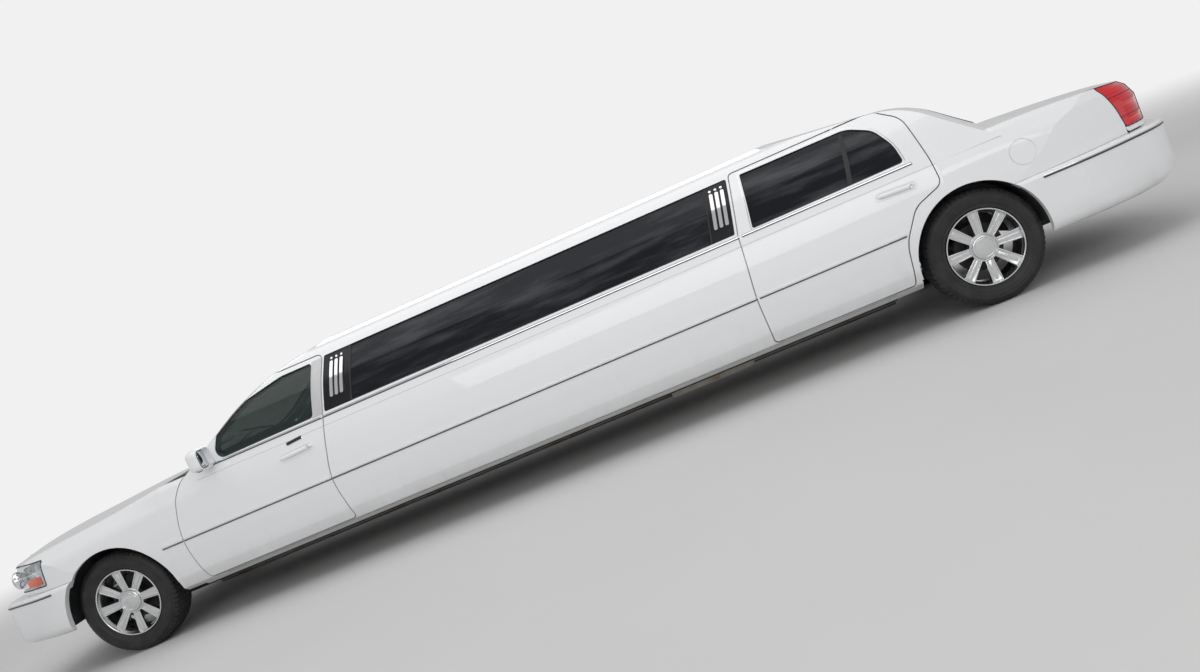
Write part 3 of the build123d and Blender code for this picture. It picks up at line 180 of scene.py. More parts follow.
def finish(name, base, roughness, **sockets):
    """A new material; returns its shader's wire-in function and its Object coordinates."""
    material = bpy.data.materials.new(name)
    material.use_nodes = True
    tree = material.node_tree
    shader = tree.nodes["Principled BSDF"]
    values = {"Base Color": (*base, 1.0), "Roughness": roughness}
    values.update({key.replace("_", " ").title().replace("Ior", "IOR"): value for key, value in sockets.items()})
    for socket, value in values.items():
        shader.inputs[socket].default_value = value
    FINISHES[name] = material

    def wire_in(socket, wire):
        tree.links.new(wire.socket, shader.inputs[socket])

    return wire_in, Wire(tree, tree.nodes.new("ShaderNodeTexCoord").outputs["Object"])


# %% [markdown]
# Modelling by hand in Blender is: add a primitive, go into edit mode, select some faces, use an
# operator, and finish with modifiers. These helpers do the same steps from code. Everything is
# deselected first, because an operator acts on all that is selected.

# %% Steps for modelling
def choose(*pieces):
    """Object mode, with only these pieces selected and the first one active."""
    if bpy.context.object and bpy.context.object.mode != "OBJECT":
        bpy.ops.object.mode_set(mode="OBJECT")
    bpy.ops.object.select_all(action="DESELECT")
    for piece in pieces:
        piece.select_set(True)
    bpy.context.view_layer.objects.active = pieces[0]


def edit(piece, kind="FACE", action="DESELECT"):
    """Edit mode, with nothing or everything of the piece selected."""
    choose(piece)
    bpy.ops.object.mode_set(mode="EDIT")
    bpy.ops.mesh.select_mode(type=kind)
    bpy.ops.mesh.select_all(action=action)


def done():
    bpy.ops.object.mode_set(mode="OBJECT")


def pick(rule):
    """Selects the faces of the piece being edited that a rule is true for."""
    bpy.ops.mesh.select_all(action="DESELECT")
    form = bmesh.from_edit_mesh(bpy.context.object.data)
    form.normal_update()
    for face in [face for face in form.faces if rule(face)]:
        face.select_set(True)
    bmesh.update_edit_mesh(bpy.context.object.data)


def modify(piece, kind, **settings):
    """Adds a modifier, sets it and applies it."""
    choose(piece)
    modifier = piece.modifiers.new(kind, kind)
    for name, value in settings.items():
        setattr(modifier, name, value)
    bpy.ops.object.modifier_apply(modifier=modifier.name)
    return piece


def solid(piece, thickness, offset=-1.0, **settings):
    return modify(piece, "SOLIDIFY", thickness=thickness, offset=offset, **settings)


def rounded(piece, width, segments=2, degrees=30):
    """Bevels every edge that is sharper than an angle."""
    return modify(piece, "BEVEL", width=width, segments=segments, limit_method="ANGLE",
                  angle_limit=math.radians(degrees))


def settled(piece):
    """Moves a piece's place, turn and scale into its mesh."""
    choose(piece)
    bpy.ops.object.transform_apply(location=True, rotation=True, scale=True)
    return piece


def recalculated(piece):
    edit(piece, action="SELECT")
    bpy.ops.mesh.normals_make_consistent(inside=False)
    done()
    return piece


def smoothed(piece, degrees=35.0):
    choose(piece)
    bpy.ops.object.shade_smooth_by_angle(angle=math.radians(degrees))
    return piece


def shifted(piece, shift, stretch=None, middle=None):
    """Shifts a piece's mesh, after stretching it about a middle where that is asked for."""
    edit(piece, action="SELECT")
    if stretch:
        bpy.ops.transform.resize(value=stretch, center_override=middle)
    bpy.ops.transform.translate(value=shift)
    done()
    return piece


def named(name):
    """Gives the newest primitive its name."""
    bpy.context.object.name = name
    return bpy.context.object


def block(name, low, high, bevel=0.0, segments=2):
    """A cube stretched between two corners, with its edges rounded."""
    bpy.ops.mesh.primitive_cube_add(size=1.0)
    piece = named(name)
    piece.location = [(a + b) / 2 for a, b in zip(low, high)]
    piece.scale = [abs(b - a) for a, b in zip(low, high)]
    settled(piece)
    return rounded(piece, bevel, segments) if bevel else piece


def rod(name, start, end, radius, sides=24, bevel=0.0):
    """A cylinder from one point to another."""
    start, end = Vector(start), Vector(end)
    bpy.ops.mesh.primitive_cylinder_add(vertices=sides, radius=radius, depth=(end - start).length)
    piece = named(name)
    piece.rotation_mode = "QUATERNION"
    piece.rotation_quaternion = Vector((0, 0, 1)).rotation_difference(end - start)
    piece.location = (start + end) / 2
    settled(piece)
    return rounded(piece, bevel) if bevel else piece


def joined(name, pieces, degrees=None):
    """One piece of several, shaded smooth where an angle is given."""
    choose(*pieces)
    bpy.ops.object.join()
    return smoothed(named(name), degrees) if degrees else named(name)


def copied(piece, name):
    """A copy of a piece with its own mesh."""
    other = piece.copy()
    other.data = piece.data.copy()
    other.name = name
    bpy.context.collection.objects.link(other)
    return other


def twin(piece, name):
    """The same piece on the other side of the car."""
    other = copied(piece, name)
    other.scale = (1, -1, 1)
    return recalculated(settled(other))


def faced(piece, facing, place, roll=0.0):
    """Turns a shape made about Z to look in a direction, and puts it in its place."""
    turn = Vector(facing).to_track_quat("Z", "Y").to_matrix() @ Matrix.Rotation(roll, 3, "Z")
    piece.rotation_euler = turn.to_euler()
    piece.location = place
    return settled(piece)


def from_node(node, name):
    """A copy of a CAD node with its loose triangles merged, to be cut or dressed."""
    piece = bpy.data.objects.new(name, NODES[node].data.copy())
    bpy.context.collection.objects.link(piece)
    edit(piece, action="SELECT")
    bpy.ops.mesh.remove_doubles(threshold=0.00002)
    done()
    return piece


BODY_OF = {node: body for body, nodes in frame["record"]["behaviour"]["bodies"].items() for node in nodes}


def fitted(piece, material, node, slot=None, replaces=()):
    """Gives a finished piece its finish and the body of a node, and hides the nodes it stands for; slot is not used."""
    piece.data.materials.clear()
    piece.data.materials.append(FINISHES[material])
    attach(piece, BODY_OF[node])
    if replaces:
        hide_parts(*replaces)
    return piece


# %% [markdown]
# The body is white two-layer paint: a white base under a clear coat. The coat does the shining, so the
# base can be fairly rough. A very fine bump stands for orange peel, and road dust lies in a soft, patchy
# band along the sills, with faint streaks just above it.

# %% Paint
PAINT_WHITE, PAINT_COOL, ROAD_DUST = (0.86, 0.87, 0.885), (0.845, 0.86, 0.88), (0.42, 0.40, 0.36)

wire_in, place = finish("paint", PAINT_WHITE, 0.42, coat_weight=1.0, coat_roughness=0.04)
height = place.part("Z")
dust = (1.0 - height.between(0.26, 0.46)) * place.noise(5.0, 5.0, 0.6) * 0.55
streaks = place.moved(scale=(1, 1, 0.25)).noise(14.0, 4.0).between(0.55, 0.8)
soil = dust + streaks * (1.0 - height.between(0.3, 0.7)) * 0.1
wire_in("Base Color", soil.blend(place.noise(0.9, 2.0).blend(PAINT_WHITE, PAINT_COOL), ROAD_DUST))
wire_in("Roughness", soil * 0.4 + 0.4)
wire_in("Normal", place.bump(place.noise(420.0, 2.0), 0.05, 0.0004))

# %% [markdown]
# Rubber, moulded plastic, black trim and rough metal differ mostly in roughness and grain. Fine noise
# gives the grain, and slow noise the faded patches of parts that stand outdoors.

# %% Rubber, plastics and rough metals
def grained(name, base, worn, roughness, grain, depth, **sockets):
    wire_in, place = finish(name, base, roughness, **sockets)
    patches = place.noise(6.0, 4.0, 0.6)
    wire_in("Base Color", patches.between(0.4, 0.75).blend(base, worn))
    wire_in("Roughness", patches * 0.16 + (roughness - 0.08))
    wire_in("Normal", place.bump(place.noise(grain, 3.0, 0.65), 0.35, depth))


grained("seal", (0.018, 0.018, 0.019), (0.035, 0.034, 0.033), 0.62, 900.0, 0.0003)
grained("trim", (0.028, 0.028, 0.030), (0.05, 0.049, 0.047), 0.5, 700.0, 0.0004)
# The moulding finish also colours the dark band under the rubbing strip, which is painted shadow.
grained("moulding", (0.05, 0.055, 0.065), (0.075, 0.078, 0.083), 0.38, 800.0, 0.0002)
grained("underside", (0.032, 0.032, 0.032), (0.075, 0.070, 0.064), 0.85, 90.0, 0.002)
grained("frame_black", (0.03, 0.03, 0.031), (0.09, 0.075, 0.06), 0.55, 220.0, 0.0008)
grained("brake_iron", (0.05, 0.048, 0.046), (0.085, 0.075, 0.066), 0.5, 220.0, 0.0006, metallic=0.5)
grained("cast", (0.26, 0.26, 0.26), (0.36, 0.34, 0.31), 0.55, 260.0, 0.001, metallic=0.6)
grained("satin", (0.56, 0.56, 0.57), (0.63, 0.63, 0.64), 0.42, 600.0, 0.0002, coat_weight=0.3)
grained("exhaust_metal", (0.42, 0.40, 0.37), (0.30, 0.22, 0.15), 0.45, 120.0, 0.0006, metallic=0.9)
grained("cabin_plastic", (0.055, 0.053, 0.05), (0.07, 0.066, 0.062), 0.6, 1100.0, 0.0003)
grained("pale_plastic", (0.36, 0.33, 0.28), (0.40, 0.37, 0.32), 0.6, 1100.0, 0.0003)
grained("carpet", (0.045, 0.043, 0.042), (0.075, 0.071, 0.067), 0.95, 500.0, 0.003)
grained("webbing", (0.16, 0.155, 0.145), (0.21, 0.20, 0.19), 0.8, 1400.0, 0.0006)
grained("lacquer_black", (0.010, 0.010, 0.012), (0.016, 0.017, 0.020), 0.2, 500.0, 0.0001, specular_ior_level=0.3)
grained("orange_lens", (0.74, 0.085, 0.010), (0.60, 0.06, 0.008), 0.16, 300.0, 0.0002, coat_weight=0.3,
        specular_ior_level=0.3)
grained("frosted", (0.75, 0.77, 0.78), (0.66, 0.68, 0.70), 0.35, 400.0, 0.0002)
grained("red_inside", (0.16, 0.003, 0.004), (0.10, 0.002, 0.003), 0.4, 200.0, 0.0008)

# %% [markdown]
# Bright metal is a metallic base with little roughness. Chrome has faint wipe marks, which show as a
# slightly uneven roughness, and the wheels' aluminium has a fine grain under a dusty film.

# %% Bright metals
wire_in, place = finish("chrome", (0.78, 0.79, 0.80), 0.08, metallic=1.0)
smears = place.moved(scale=(3, 3, 12)).noise(7.0, 4.0)
wire_in("Roughness", smears.between(0.45, 0.8) * 0.12 + 0.06)
wire_in("Base Color", smears.blend((0.80, 0.81, 0.82), (0.70, 0.71, 0.72)))

wire_in, place = finish("aluminium", (0.70, 0.71, 0.72), 0.24, metallic=1.0, coat_weight=0.6)
grain = place.noise(900.0, 2.0)
film = place.noise(9.0, 5.0, 0.65).between(0.5, 0.85)
wire_in("Base Color", (film * 0.6).blend((0.74, 0.75, 0.76), (0.50, 0.47, 0.43)))
wire_in("Roughness", film * 0.25 + grain * 0.08 + 0.16)
wire_in("Normal", place.bump(grain, 0.15, 0.0002))

wire_in, place = finish("mirror_glass", (0.60, 0.63, 0.65), 0.03, metallic=1.0)
film = place.noise(12.0, 4.0, 0.6).between(0.5, 0.9)
wire_in("Roughness", film * 0.08 + 0.02)
wire_in("Base Color", film.blend((0.62, 0.65, 0.67), (0.50, 0.52, 0.53)))

# %% [markdown]
# Window glass is a thin pane. Letting its Alpha stand for how dark the film is keeps it light to
# render, and the reflection stays on top. The front windows are pale green and the rest nearly black.

# %% Glass and lenses
def make_glass(name, base, alpha, roughness=0.01, film_tint=0.01, **sockets):
    """A pane: film_tint is how much lighter the streaks of dust on it are."""
    wire_in, place = finish(name, base, roughness, alpha=alpha, **sockets)
    streaks = place.moved(scale=(0.7, 1.0, 6.0), turn=(0.0, 0.08, 0.0)).noise(2.2, 5.0, 0.55)
    film = streaks.between(0.42, 0.78)
    wire_in("Alpha", film * 0.03 + alpha)
    wire_in("Roughness", film * 0.05 + roughness)
    wire_in("Base Color", film.blend(base, [level * 1.6 + film_tint for level in base]))


make_glass("dark_glass", (0.006, 0.008, 0.012), 0.955, 0.02, 0.055, specular_ior_level=0.24)
make_glass("clear_glass", (0.018, 0.034, 0.030), 0.60, 0.015, specular_ior_level=0.4)
make_glass("clear_lens", (0.50, 0.54, 0.56), 0.20, 0.02, coat_weight=1.0, coat_roughness=0.01)

# The red lens's colour is lighter in cell-shaped patches and along the crest of each rib: painted glints and painted
# shade of the lens optics. The ribs are also a real bump.
wire_in, place = finish("red_lens", (0.34, 0.003, 0.008), 0.12, coat_weight=0.6, coat_roughness=0.02,
                        specular_ior_level=0.4)
ribs_and_shade = place.part("Z").waves(300.0)
painted_glints = place.node("ShaderNodeTexVoronoi", {}, {"Scale": 26.0}).between(0.0, 0.7)
wire_in("Base Color", (painted_glints * 0.6 + ribs_and_shade * 0.4).blend((0.40, 0.001, 0.006), (0.78, 0.006, 0.020)))
wire_in("Roughness", place.noise(8.0) * 0.08 + 0.08)
wire_in("Normal", place.bump(ribs_and_shade, 0.15, 0.0010))

# Bright metal film inside a lamp, pressed in upright flutes. Its colour is lighter along each flute's crest
# and darker in its hollow: painted highlight and shade. The flutes are also a real bump.
wire_in, place = finish("reflector", (0.80, 0.82, 0.84), 0.2, metallic=1.0)
flutes_and_sheen = place.part("Y").waves(520.0)
wire_in("Base Color", flutes_and_sheen.blend((0.66, 0.68, 0.70), (0.86, 0.87, 0.88)))
wire_in("Roughness", flutes_and_sheen * 0.1 + 0.14)
wire_in("Normal", place.bump(flutes_and_sheen, 0.3, 0.0015))

# %% [markdown]
# Tyre rubber is black only when new. In use its tread greys with dust and its sidewall browns a
# little, and the moulding leaves fine rings. The rings follow each wheel's own centre, so the finish
# is made once for every axle, with the distance from the hub worked out in the shader.

# %% Tyre rubber
TYRE_RADIUS = 0.351
WHEEL_CENTRES = {"front": (3.1595, 0.805), "rear": (-2.8775, 0.833)}


def make_rubber(axle, axle_x):
    wire_in, place = finish("rubber_" + axle, (0.011, 0.011, 0.012), 0.62)
    radius = place.moved((axle_x, 0.0, TYRE_RADIUS), (1, 0, 1)).length()
    tread = radius.between(0.332, 0.347)
    rim_side = 1.0 - radius.between(0.245, 0.262)
    wear = place.noise(11.0, 5.0, 0.65).between(0.35, 0.8) * 0.5 + tread * 0.4 + rim_side * 0.2
    wire_in("Base Color", wear.blend((0.008, 0.008, 0.009), (0.052, 0.049, 0.046)))
    wire_in("Roughness", wear * 0.25 + 0.5)
    rings = radius.waves(1500.0) * (1.0 - tread)
    wire_in("Normal", place.bump(rings * 0.5 + place.noise(600.0) * 0.5, 0.25, 0.0006))


for axle, (axle_x, wheel_y) in WHEEL_CENTRES.items():
    make_rubber(axle, axle_x)

# %% [markdown]
# Leather has pores, folds and a soft shine where people sit. Two patterns of different size give the
# pores and the wrinkles, and the wear darkens the paler hide.

# %% Leather and wood
def make_leather(name, base, worn):
    wire_in, place = finish(name, base, 0.5, specular_ior_level=0.4)
    pores = place.cells(340.0).between(0.0, 0.12)
    folds = place.moved(scale=(1, 1, 2)).noise(22.0, 5.0, 0.6)
    wire_in("Base Color", folds.between(0.35, 0.8).blend(base, worn))
    wire_in("Roughness", folds * 0.3 + 0.34)
    wire_in("Normal", place.bump(pores * 0.5 + folds * 0.7, 0.4, 0.0012))


wire_in, place = finish("wood", (0.10, 0.04, 0.02), 0.3, coat_weight=0.8, coat_roughness=0.05)
grain = place.moved(scale=(1, 9, 9)).noise(8.0, 6.0, 0.6)
wire_in("Base Color", grain.between(0.3, 0.75).blend((0.05, 0.018, 0.010), (0.17, 0.07, 0.032)))
wire_in("Roughness", grain * 0.15 + 0.25)
wire_in("Normal", place.bump(grain, 0.1, 0.0005))

make_leather("pale_leather", (0.56, 0.52, 0.45), (0.44, 0.40, 0.34))
make_leather("dark_leather", (0.028, 0.027, 0.028), (0.05, 0.047, 0.045))
print("finishes", len(FINISHES))

# %% [markdown]
# Each CAD piece names a material slot, so one table gives every piece its first finish. The pieces
# modelled later in this lesson add trim, seals, lamps and cushions over them.

# %% Finishes of the CAD pieces
SLOT_FINISH = {
    "body_paint": "paint", "frame_paint": "frame_black", "underbody": "underside", "dark_trim": "trim",
    "engine_metal": "cast", "radiator_core": "frame_black", "exhaust_steel": "exhaust_metal",
    "clear_glass": "clear_glass", "dark_glass": "dark_glass", "gloss_black": "lacquer_black",
    "chrome": "chrome", "lamp_clear": "clear_lens", "lamp_red": "red_lens",
    "seat_leather": "pale_leather", "saloon_leather": "dark_leather", "cabin_plastic": "cabin_plastic",
    "cabinet_wood": "wood", "knuckle_iron": "frame_black", "tyre_rubber": "rubber_front", "rim_metal": "aluminium",
}
for row in frame["record"]["subparts"]:
    slots = NODES[row["node"]].data.materials
    slots.clear()
    slots.append(FINISHES[SLOT_FINISH[row["material_slot"]]])

# %% [markdown]
# A wheel is round, so half of its shapes are outlines turned about its axle. A circle primitive has
# one vertex for every corner of such an outline: its vertices are laid on the outline, and the Spin
# operator turns them. The wheel is made flat on the ground with its outer face up, and stood up last.

# %% Turned shapes
def outlined(name, outline, unit=0.001):
    """A closed outline of (radius, height) corners, being edited; one unit is a millimetre."""
    bpy.ops.mesh.primitive_circle_add(vertices=len(outline), fill_type="NOTHING")
    piece = named(name)
    for vertex, (radius, height) in zip(piece.data.vertices, outline):
        vertex.co = (radius * unit, 0.0, height * unit)
    edit(piece, "EDGE", "SELECT")
    return piece


def spun(steps, angle):
    bpy.ops.mesh.spin(steps=steps, angle=angle, center=(0, 0, 0), axis=(0, 0, 1))


def turned(name, outline, steps=96, unit=0.001):
    """An outline turned about the Z axis."""
    piece = outlined(name, outline, unit)
    spun(steps, math.tau)
    bpy.ops.mesh.select_all(action="SELECT")
    bpy.ops.mesh.remove_doubles(threshold=0.00001)
    bpy.ops.mesh.normals_make_consistent(inside=False)
    done()
    return piece


def rayed(piece, count):
    """Copies of a piece around the Z axis, joined with it."""
    rays = [piece]
    for i in range(1, count):
        ray = copied(piece, piece.name)
        ray.rotation_euler = (0, 0, math.tau * i / count)
        rays.append(settled(ray))
    return joined(piece.name, rays)


# %% [markdown]
# The tyre is modelled as one narrow slice of tread with its two sidewalls. The outline is turned by a
# few degrees for the blocks and a little further for the gap between them, the gap's outer faces are
# sunk, and the slice is repeated round the wheel.

# %% Tyre
TREAD_SLICES = 64
SLICE_ANGLE = math.tau / TREAD_SLICES
GAP_ANGLE = SLICE_ANGLE * 0.16
GAP_DEPTH = 0.0055
SIDEWALL = [
    (234.5, 80), (236.5, 91.5), (241, 96.8), (246.5, 98.5), (250, 96.8), (256, 98.5), (266, 103.5),
    (268, 105.2), (270.5, 106.2), (273, 106), (285, 110.5), (298, 112.3), (309, 111.5), (311, 112.2),
    (313.5, 111.8), (315, 110), (325, 106), (334, 100.5), (342, 94), (346.5, 88), (348.8, 81),
]
GROOVES = ((56.0, 350.0), (20.0, 350.8))
GROOVE_TOP, GROOVE_BOTTOM, GROOVE_FLOOR = 4.5, 3.3, 343.0


def tyre_outline():
    half = list(SIDEWALL)
    for centre, radius in GROOVES:
        half += [(radius, centre + GROOVE_TOP), (GROOVE_FLOOR, centre + GROOVE_BOTTOM),
                 (GROOVE_FLOOR, centre - GROOVE_BOTTOM), (radius, centre - GROOVE_TOP)]
    return half + [(radius, -height) for radius, height in reversed(half)]


def in_gap(face):
    """True for the outer faces of a slice between two tread blocks."""
    middle = face.calc_center_median()
    radius = math.hypot(middle.x, middle.y)
    outer = radius > 0.3475 or (abs(middle.z) > 0.082 and radius > 0.336)
    return outer and abs(math.atan2(middle.y, middle.x)) % SLICE_ANGLE > SLICE_ANGLE - GAP_ANGLE


def tyre_slice():
    piece = outlined("tyre", tyre_outline())
    spun(2, SLICE_ANGLE - GAP_ANGLE)
    spun(1, GAP_ANGLE)
    bpy.ops.mesh.select_mode(type="FACE")
    pick(in_gap)
    bpy.ops.mesh.extrude_region_shrink_fatten(TRANSFORM_OT_shrink_fatten={"value": -GAP_DEPTH})
    done()
    return recalculated(piece)


tyre = modify(rayed(tyre_slice(), TREAD_SLICES), "WELD", merge_threshold=0.00002)
smoothed(recalculated(tyre), 28.0)

# %% [markdown]
# The rim has a bright rolled lip and eight broad bar spokes. Each spoke is a cube with its outer end
# widened; its front face is inset and sunk, which leaves two raised edges, and a thinner bar runs
# down the middle of the channel. The dark brake behind the spokes is a piece of its own.

# %% Rim and brake
SPOKES = 8
SPOKE_IN, SPOKE_OUT = 0.074, 0.2215
SPOKE_HALF_IN, SPOKE_HALF_OUT = 0.0245, 0.0335
SPOKE_FRONT_IN, SPOKE_FRONT_OUT = 0.066, 0.082
SPOKE_BACK = 0.034
SPOKE_DRAFT = 0.004
CHANNEL_EDGE, CHANNEL_DEPTH = 0.0062, 0.0045
LIP = [
    (233.5, -97.5), (233.5, 90), (233.2, 95.5), (231.5, 97.5), (227.5, 97.8), (224.5, 96), (222.5, 91.5),
    (221.5, 85), (216, 78), (211, 60), (208, 30), (207, -50), (219, -70), (223, -90),
    (226, -97.5),
]
HUB = [
    (26, 26), (86, 26), (90, 30), (90, 60), (88, 65.5), (84, 69), (79, 69), (77, 67),
    (77, 64), (74.5, 63), (26, 63),
]
CAP = [
    (0, 60), (73, 60), (73, 69), (71.5, 73), (68, 75.5), (64, 76.5), (60, 76.2), (58, 74.5),
    (56, 74.5), (54, 76.2), (42, 77.8), (25, 78.8), (0, 79.2),
]
BRAKE = [
    (25, -62), (148, -62), (149, -61), (149, -54), (144, -53), (144, -47), (149, -46),
    (149, -39), (148, -38), (84, -38), (82, -20), (60, -18), (59, 27), (25, 27),
]


def spoke():
    piece = block("spoke", (SPOKE_IN, -0.5, 0.0), (SPOKE_OUT, 0.5, 1.0))
    for vertex in piece.data.vertices:
        outer, front = vertex.co.x > (SPOKE_IN + SPOKE_OUT) / 2, vertex.co.z > 0.5
        half = SPOKE_HALF_OUT if outer else SPOKE_HALF_IN
        face_height = SPOKE_FRONT_OUT if outer else SPOKE_FRONT_IN
        vertex.co.y = math.copysign(half if front else half - SPOKE_DRAFT, vertex.co.y)
        vertex.co.z = face_height if front else SPOKE_BACK
    edit(piece)
    pick(lambda face: face.normal.z > 0.7)
    bpy.ops.mesh.inset(thickness=CHANNEL_EDGE)
    bpy.ops.mesh.inset(thickness=0.0012, depth=-CHANNEL_DEPTH)
    done()
    return rounded(piece, 0.0016)


def spoke_rib():
    """The raised bar down the middle of a spoke's channel."""
    rib = block("spoke_rib", (SPOKE_IN + 0.014, -0.0085, 0.0), (SPOKE_OUT - 0.012, 0.0085, 0.0045), 0.0014)
    slope = (SPOKE_FRONT_OUT - SPOKE_FRONT_IN) / (SPOKE_OUT - SPOKE_IN)
    for vertex in rib.data.vertices:
        vertex.co.z += SPOKE_FRONT_IN + slope * (vertex.co.x - SPOKE_IN) - 0.0058
    return rib


rim = joined("rim", [turned("lip", LIP), turned("hub", HUB), turned("cap", CAP, 72),
                     rayed(spoke(), SPOKES), rayed(spoke_rib(), SPOKES)], 32.0)
brake = smoothed(turned("brake", BRAKE), 32.0)
print("tyre faces", len(tyre.data.polygons), "rim faces", len(rim.data.polygons))

# %% [markdown]
# One wheel is now copied to the four corners. A left wheel is tipped so that its outer face looks to
# the left, and a right wheel is the mirror image of a left one.

# %% Four wheels
for axle, (wheel_x, wheel_y) in WHEEL_CENTRES.items():
    for kind, source, material, ridden in (("tyre", tyre, "rubber_" + axle, "tyre"), ("rim", rim, "aluminium", "rim"),
                                           ("brake", brake, "brake_iron", "rim")):
        left = copied(source, f"{kind}_{axle}_left_seen")
        left.rotation_euler = (-math.pi / 2, 0, 0)
        left.location = (wheel_x, wheel_y, TYRE_RADIUS)
        right = twin(settled(left), f"{kind}_{axle}_right_seen")
        for piece, side in ((left, "left"), (right, "right")):
            node = f"{ridden}_{axle}_{side}"
            fitted(smoothed(piece, 30.0), material, node, replaces=[node] if kind == ridden else [])
for piece in (tyre, rim, brake):
    bpy.data.objects.remove(piece)

# %% [markdown]
# Trim follows the body, so it is cut from the body. A copy of a panel is sliced with the Bisect
# operator until only a narrow band of its outer skin is left; Solidify then gives the band its
# thickness and Bevel rounds it. A band made this way bends wherever the panel bends.

# %% Bands cut from a panel
def looks_left(face):
    return face.normal.y > 0.35 and face.calc_center_median().y > 0.4


def patch(node, name, cuts=(), keep=looks_left):
    """A copy of a node's outer skin, sliced: each cut clears the side its direction points to."""
    piece = from_node(node, name)
    edit(piece)
    for place, direction in cuts:
        bpy.ops.mesh.select_all(action="SELECT")
        bpy.ops.mesh.bisect(plane_co=place, plane_no=direction, clear_outer=True)
    pick(lambda face: not keep(face))
    bpy.ops.mesh.delete(type="FACE")
    done()
    return piece


def raised(piece, rise, edge=0.001):
    """Gives a patch thickness: rise outside the skin it came from and a millimetre inside it."""
    full = rise + 0.001
    solid(piece, full, (rise - 0.001) / full, use_even_offset=True)
    return smoothed(rounded(piece, edge, degrees=50), 40.0)


def level_cuts(low_z, high_z, low_x=None, high_x=None):
    """Cuts that leave what lies between two heights, and between two stations along the car."""
    cuts = [((0, 0, low_z), (0, 0, -1)), ((0, 0, high_z), (0, 0, 1))]
    if low_x is not None:
        cuts += [((low_x, 0, 0), (-1, 0, 0)), ((high_x, 0, 0), (1, 0, 0))]
    return cuts


def on_both_sides(left, material, left_node, slot=None):
    """Fits a left piece and its twin to the bodies of a left node and of its right one."""
    bare_name = left.name.replace("_left", "")
    right = smoothed(twin(left, bare_name + "_right"), 40.0)
    left.name = bare_name + "_left"
    fitted(left, material, left_node, slot)
    fitted(right, material, left_node.replace("_left", "_right"), slot)
    return left


# %% [markdown]
# A rubbing strip runs along the side a little above the wheel centres: a painted bar with a fine
# bright bead, and under it a dark strip that is painted shadow, set where the bar's shadow falls.
# A bright belt strip with a dark line under it lies below the windows. Every strip stops short where a
# door is hinged, so that it clears the next panel when the door swings.

# %% Side strips
STRIP_EDGE = 0.0012
# The rubbing strip's lowest, dark band is painted shadow: a dark strip set under the bar where its shadow falls. The
# bumper strip's dark band is a real insert.
RUBBING_STRIP = {"insert": (0.5960, 0.6035, 0.0040, "moulding"), "bead": (0.6038, 0.6078, 0.0062, "chrome"),
                 "bar": (0.6081, 0.6225, 0.0058, "paint")}
BELT_STRIP = {"belt": (0.9860, 0.9965, 0.0045, "chrome"), "belt_line": (0.9800, 0.9858, 0.0025, "moulding")}
SILL_STRIP = {"sill_bead": (0.2880, 0.2935, 0.0030, "chrome")}
BUMPER_STRIP = {"insert": (0.6050, 0.6155, 0.0042, "moulding"), "bead": (0.6158, 0.6205, 0.0050, "chrome")}


def outward(face):
    """True for a bumper's outer wall, which faces away from the car's middle."""
    middle = face.calc_center_median()
    away = face.normal.x * math.copysign(1, middle.x) * 0.6 + face.normal.y * math.copysign(1, middle.y)
    return away > 0.2 and abs(face.normal.z) < 0.9


for node, low_x, high_x, bands in (
        ("front_wings", 2.4, 2.700, RUBBING_STRIP), ("front_door_left", 1.3, 2.532, RUBBING_STRIP),
        ("body_sides", -1.6, 1.5, RUBBING_STRIP), ("rear_door_left", -2.462, -1.526, RUBBING_STRIP),
        ("front_door_left", 1.2, 2.18, BELT_STRIP), ("body_sides", -1.7, 1.5, BELT_STRIP),
        ("rear_door_left", -2.66, -1.575, BELT_STRIP), ("body_sides", -2.29, 2.39, SILL_STRIP),
        ("front_bumper", 3.569, 5.0, BUMPER_STRIP), ("rear_bumper", -5.0, -3.295, BUMPER_STRIP)):
    for band, (low_z, high_z, rise, material) in bands.items():
        name = band if bands is SILL_STRIP else f"{node}_{band}"
        all_round = bands is BUMPER_STRIP
        piece = patch(node, name, level_cuts(low_z, high_z, low_x, high_x), outward if all_round else looks_left)
        (fitted if all_round else on_both_sides)(raised(piece, rise, STRIP_EDGE), material, node)

# %% [markdown]
# Window rubber is a cord laid round the pane's edge. The pane is reduced to its outer face, that face
# to its border, and the border becomes a curve with a round section, which is a mesh again at last.

# %% Window seals
def border_cord(piece, radius):
    """Turns a patch into a round cord along its border."""
    edit(piece, "FACE", "SELECT")
    bpy.ops.mesh.region_to_loop()
    bpy.ops.mesh.select_all(action="INVERT")
    bpy.ops.mesh.delete(type="EDGE")
    bpy.ops.mesh.select_all(action="SELECT")
    bpy.ops.mesh.delete(type="ONLY_FACE")
    done()
    choose(piece)
    bpy.ops.object.convert(target="CURVE")
    piece.data.bevel_depth = radius
    piece.data.bevel_resolution = 2
    bpy.ops.object.convert(target="MESH")
    return smoothed(piece, 50.0)


def widened(piece, node, wider, taller, shift):
    """Stretches a piece about the middle of a node's box by two lengths, and shifts it."""
    low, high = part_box(node)
    tall = 1 + taller / (high[2] - low[2])
    return shifted(piece, shift, (1 + wider / (high[0] - low[0]), tall, tall), [(a + b) / 2 for a, b in zip(low, high)])


FRONT_PANE, REAR_PANE = "front_door_glass_left", "rear_door_glass_left"
for node in (FRONT_PANE, REAR_PANE, "long_windows"):
    on_both_sides(border_cord(patch(node, node.replace("_left", "") + "_seal"), 0.0062), "seal", node)

# %% [markdown]
# The rear door's window has a bright bead around its black seal: the same cord, moved outward all
# round by the width of the seal. Inside the front door a painted bar closes the window frame, and a
# dark flat garnish covers its inner face. The garnish is the rim that an inset leaves round the pane.

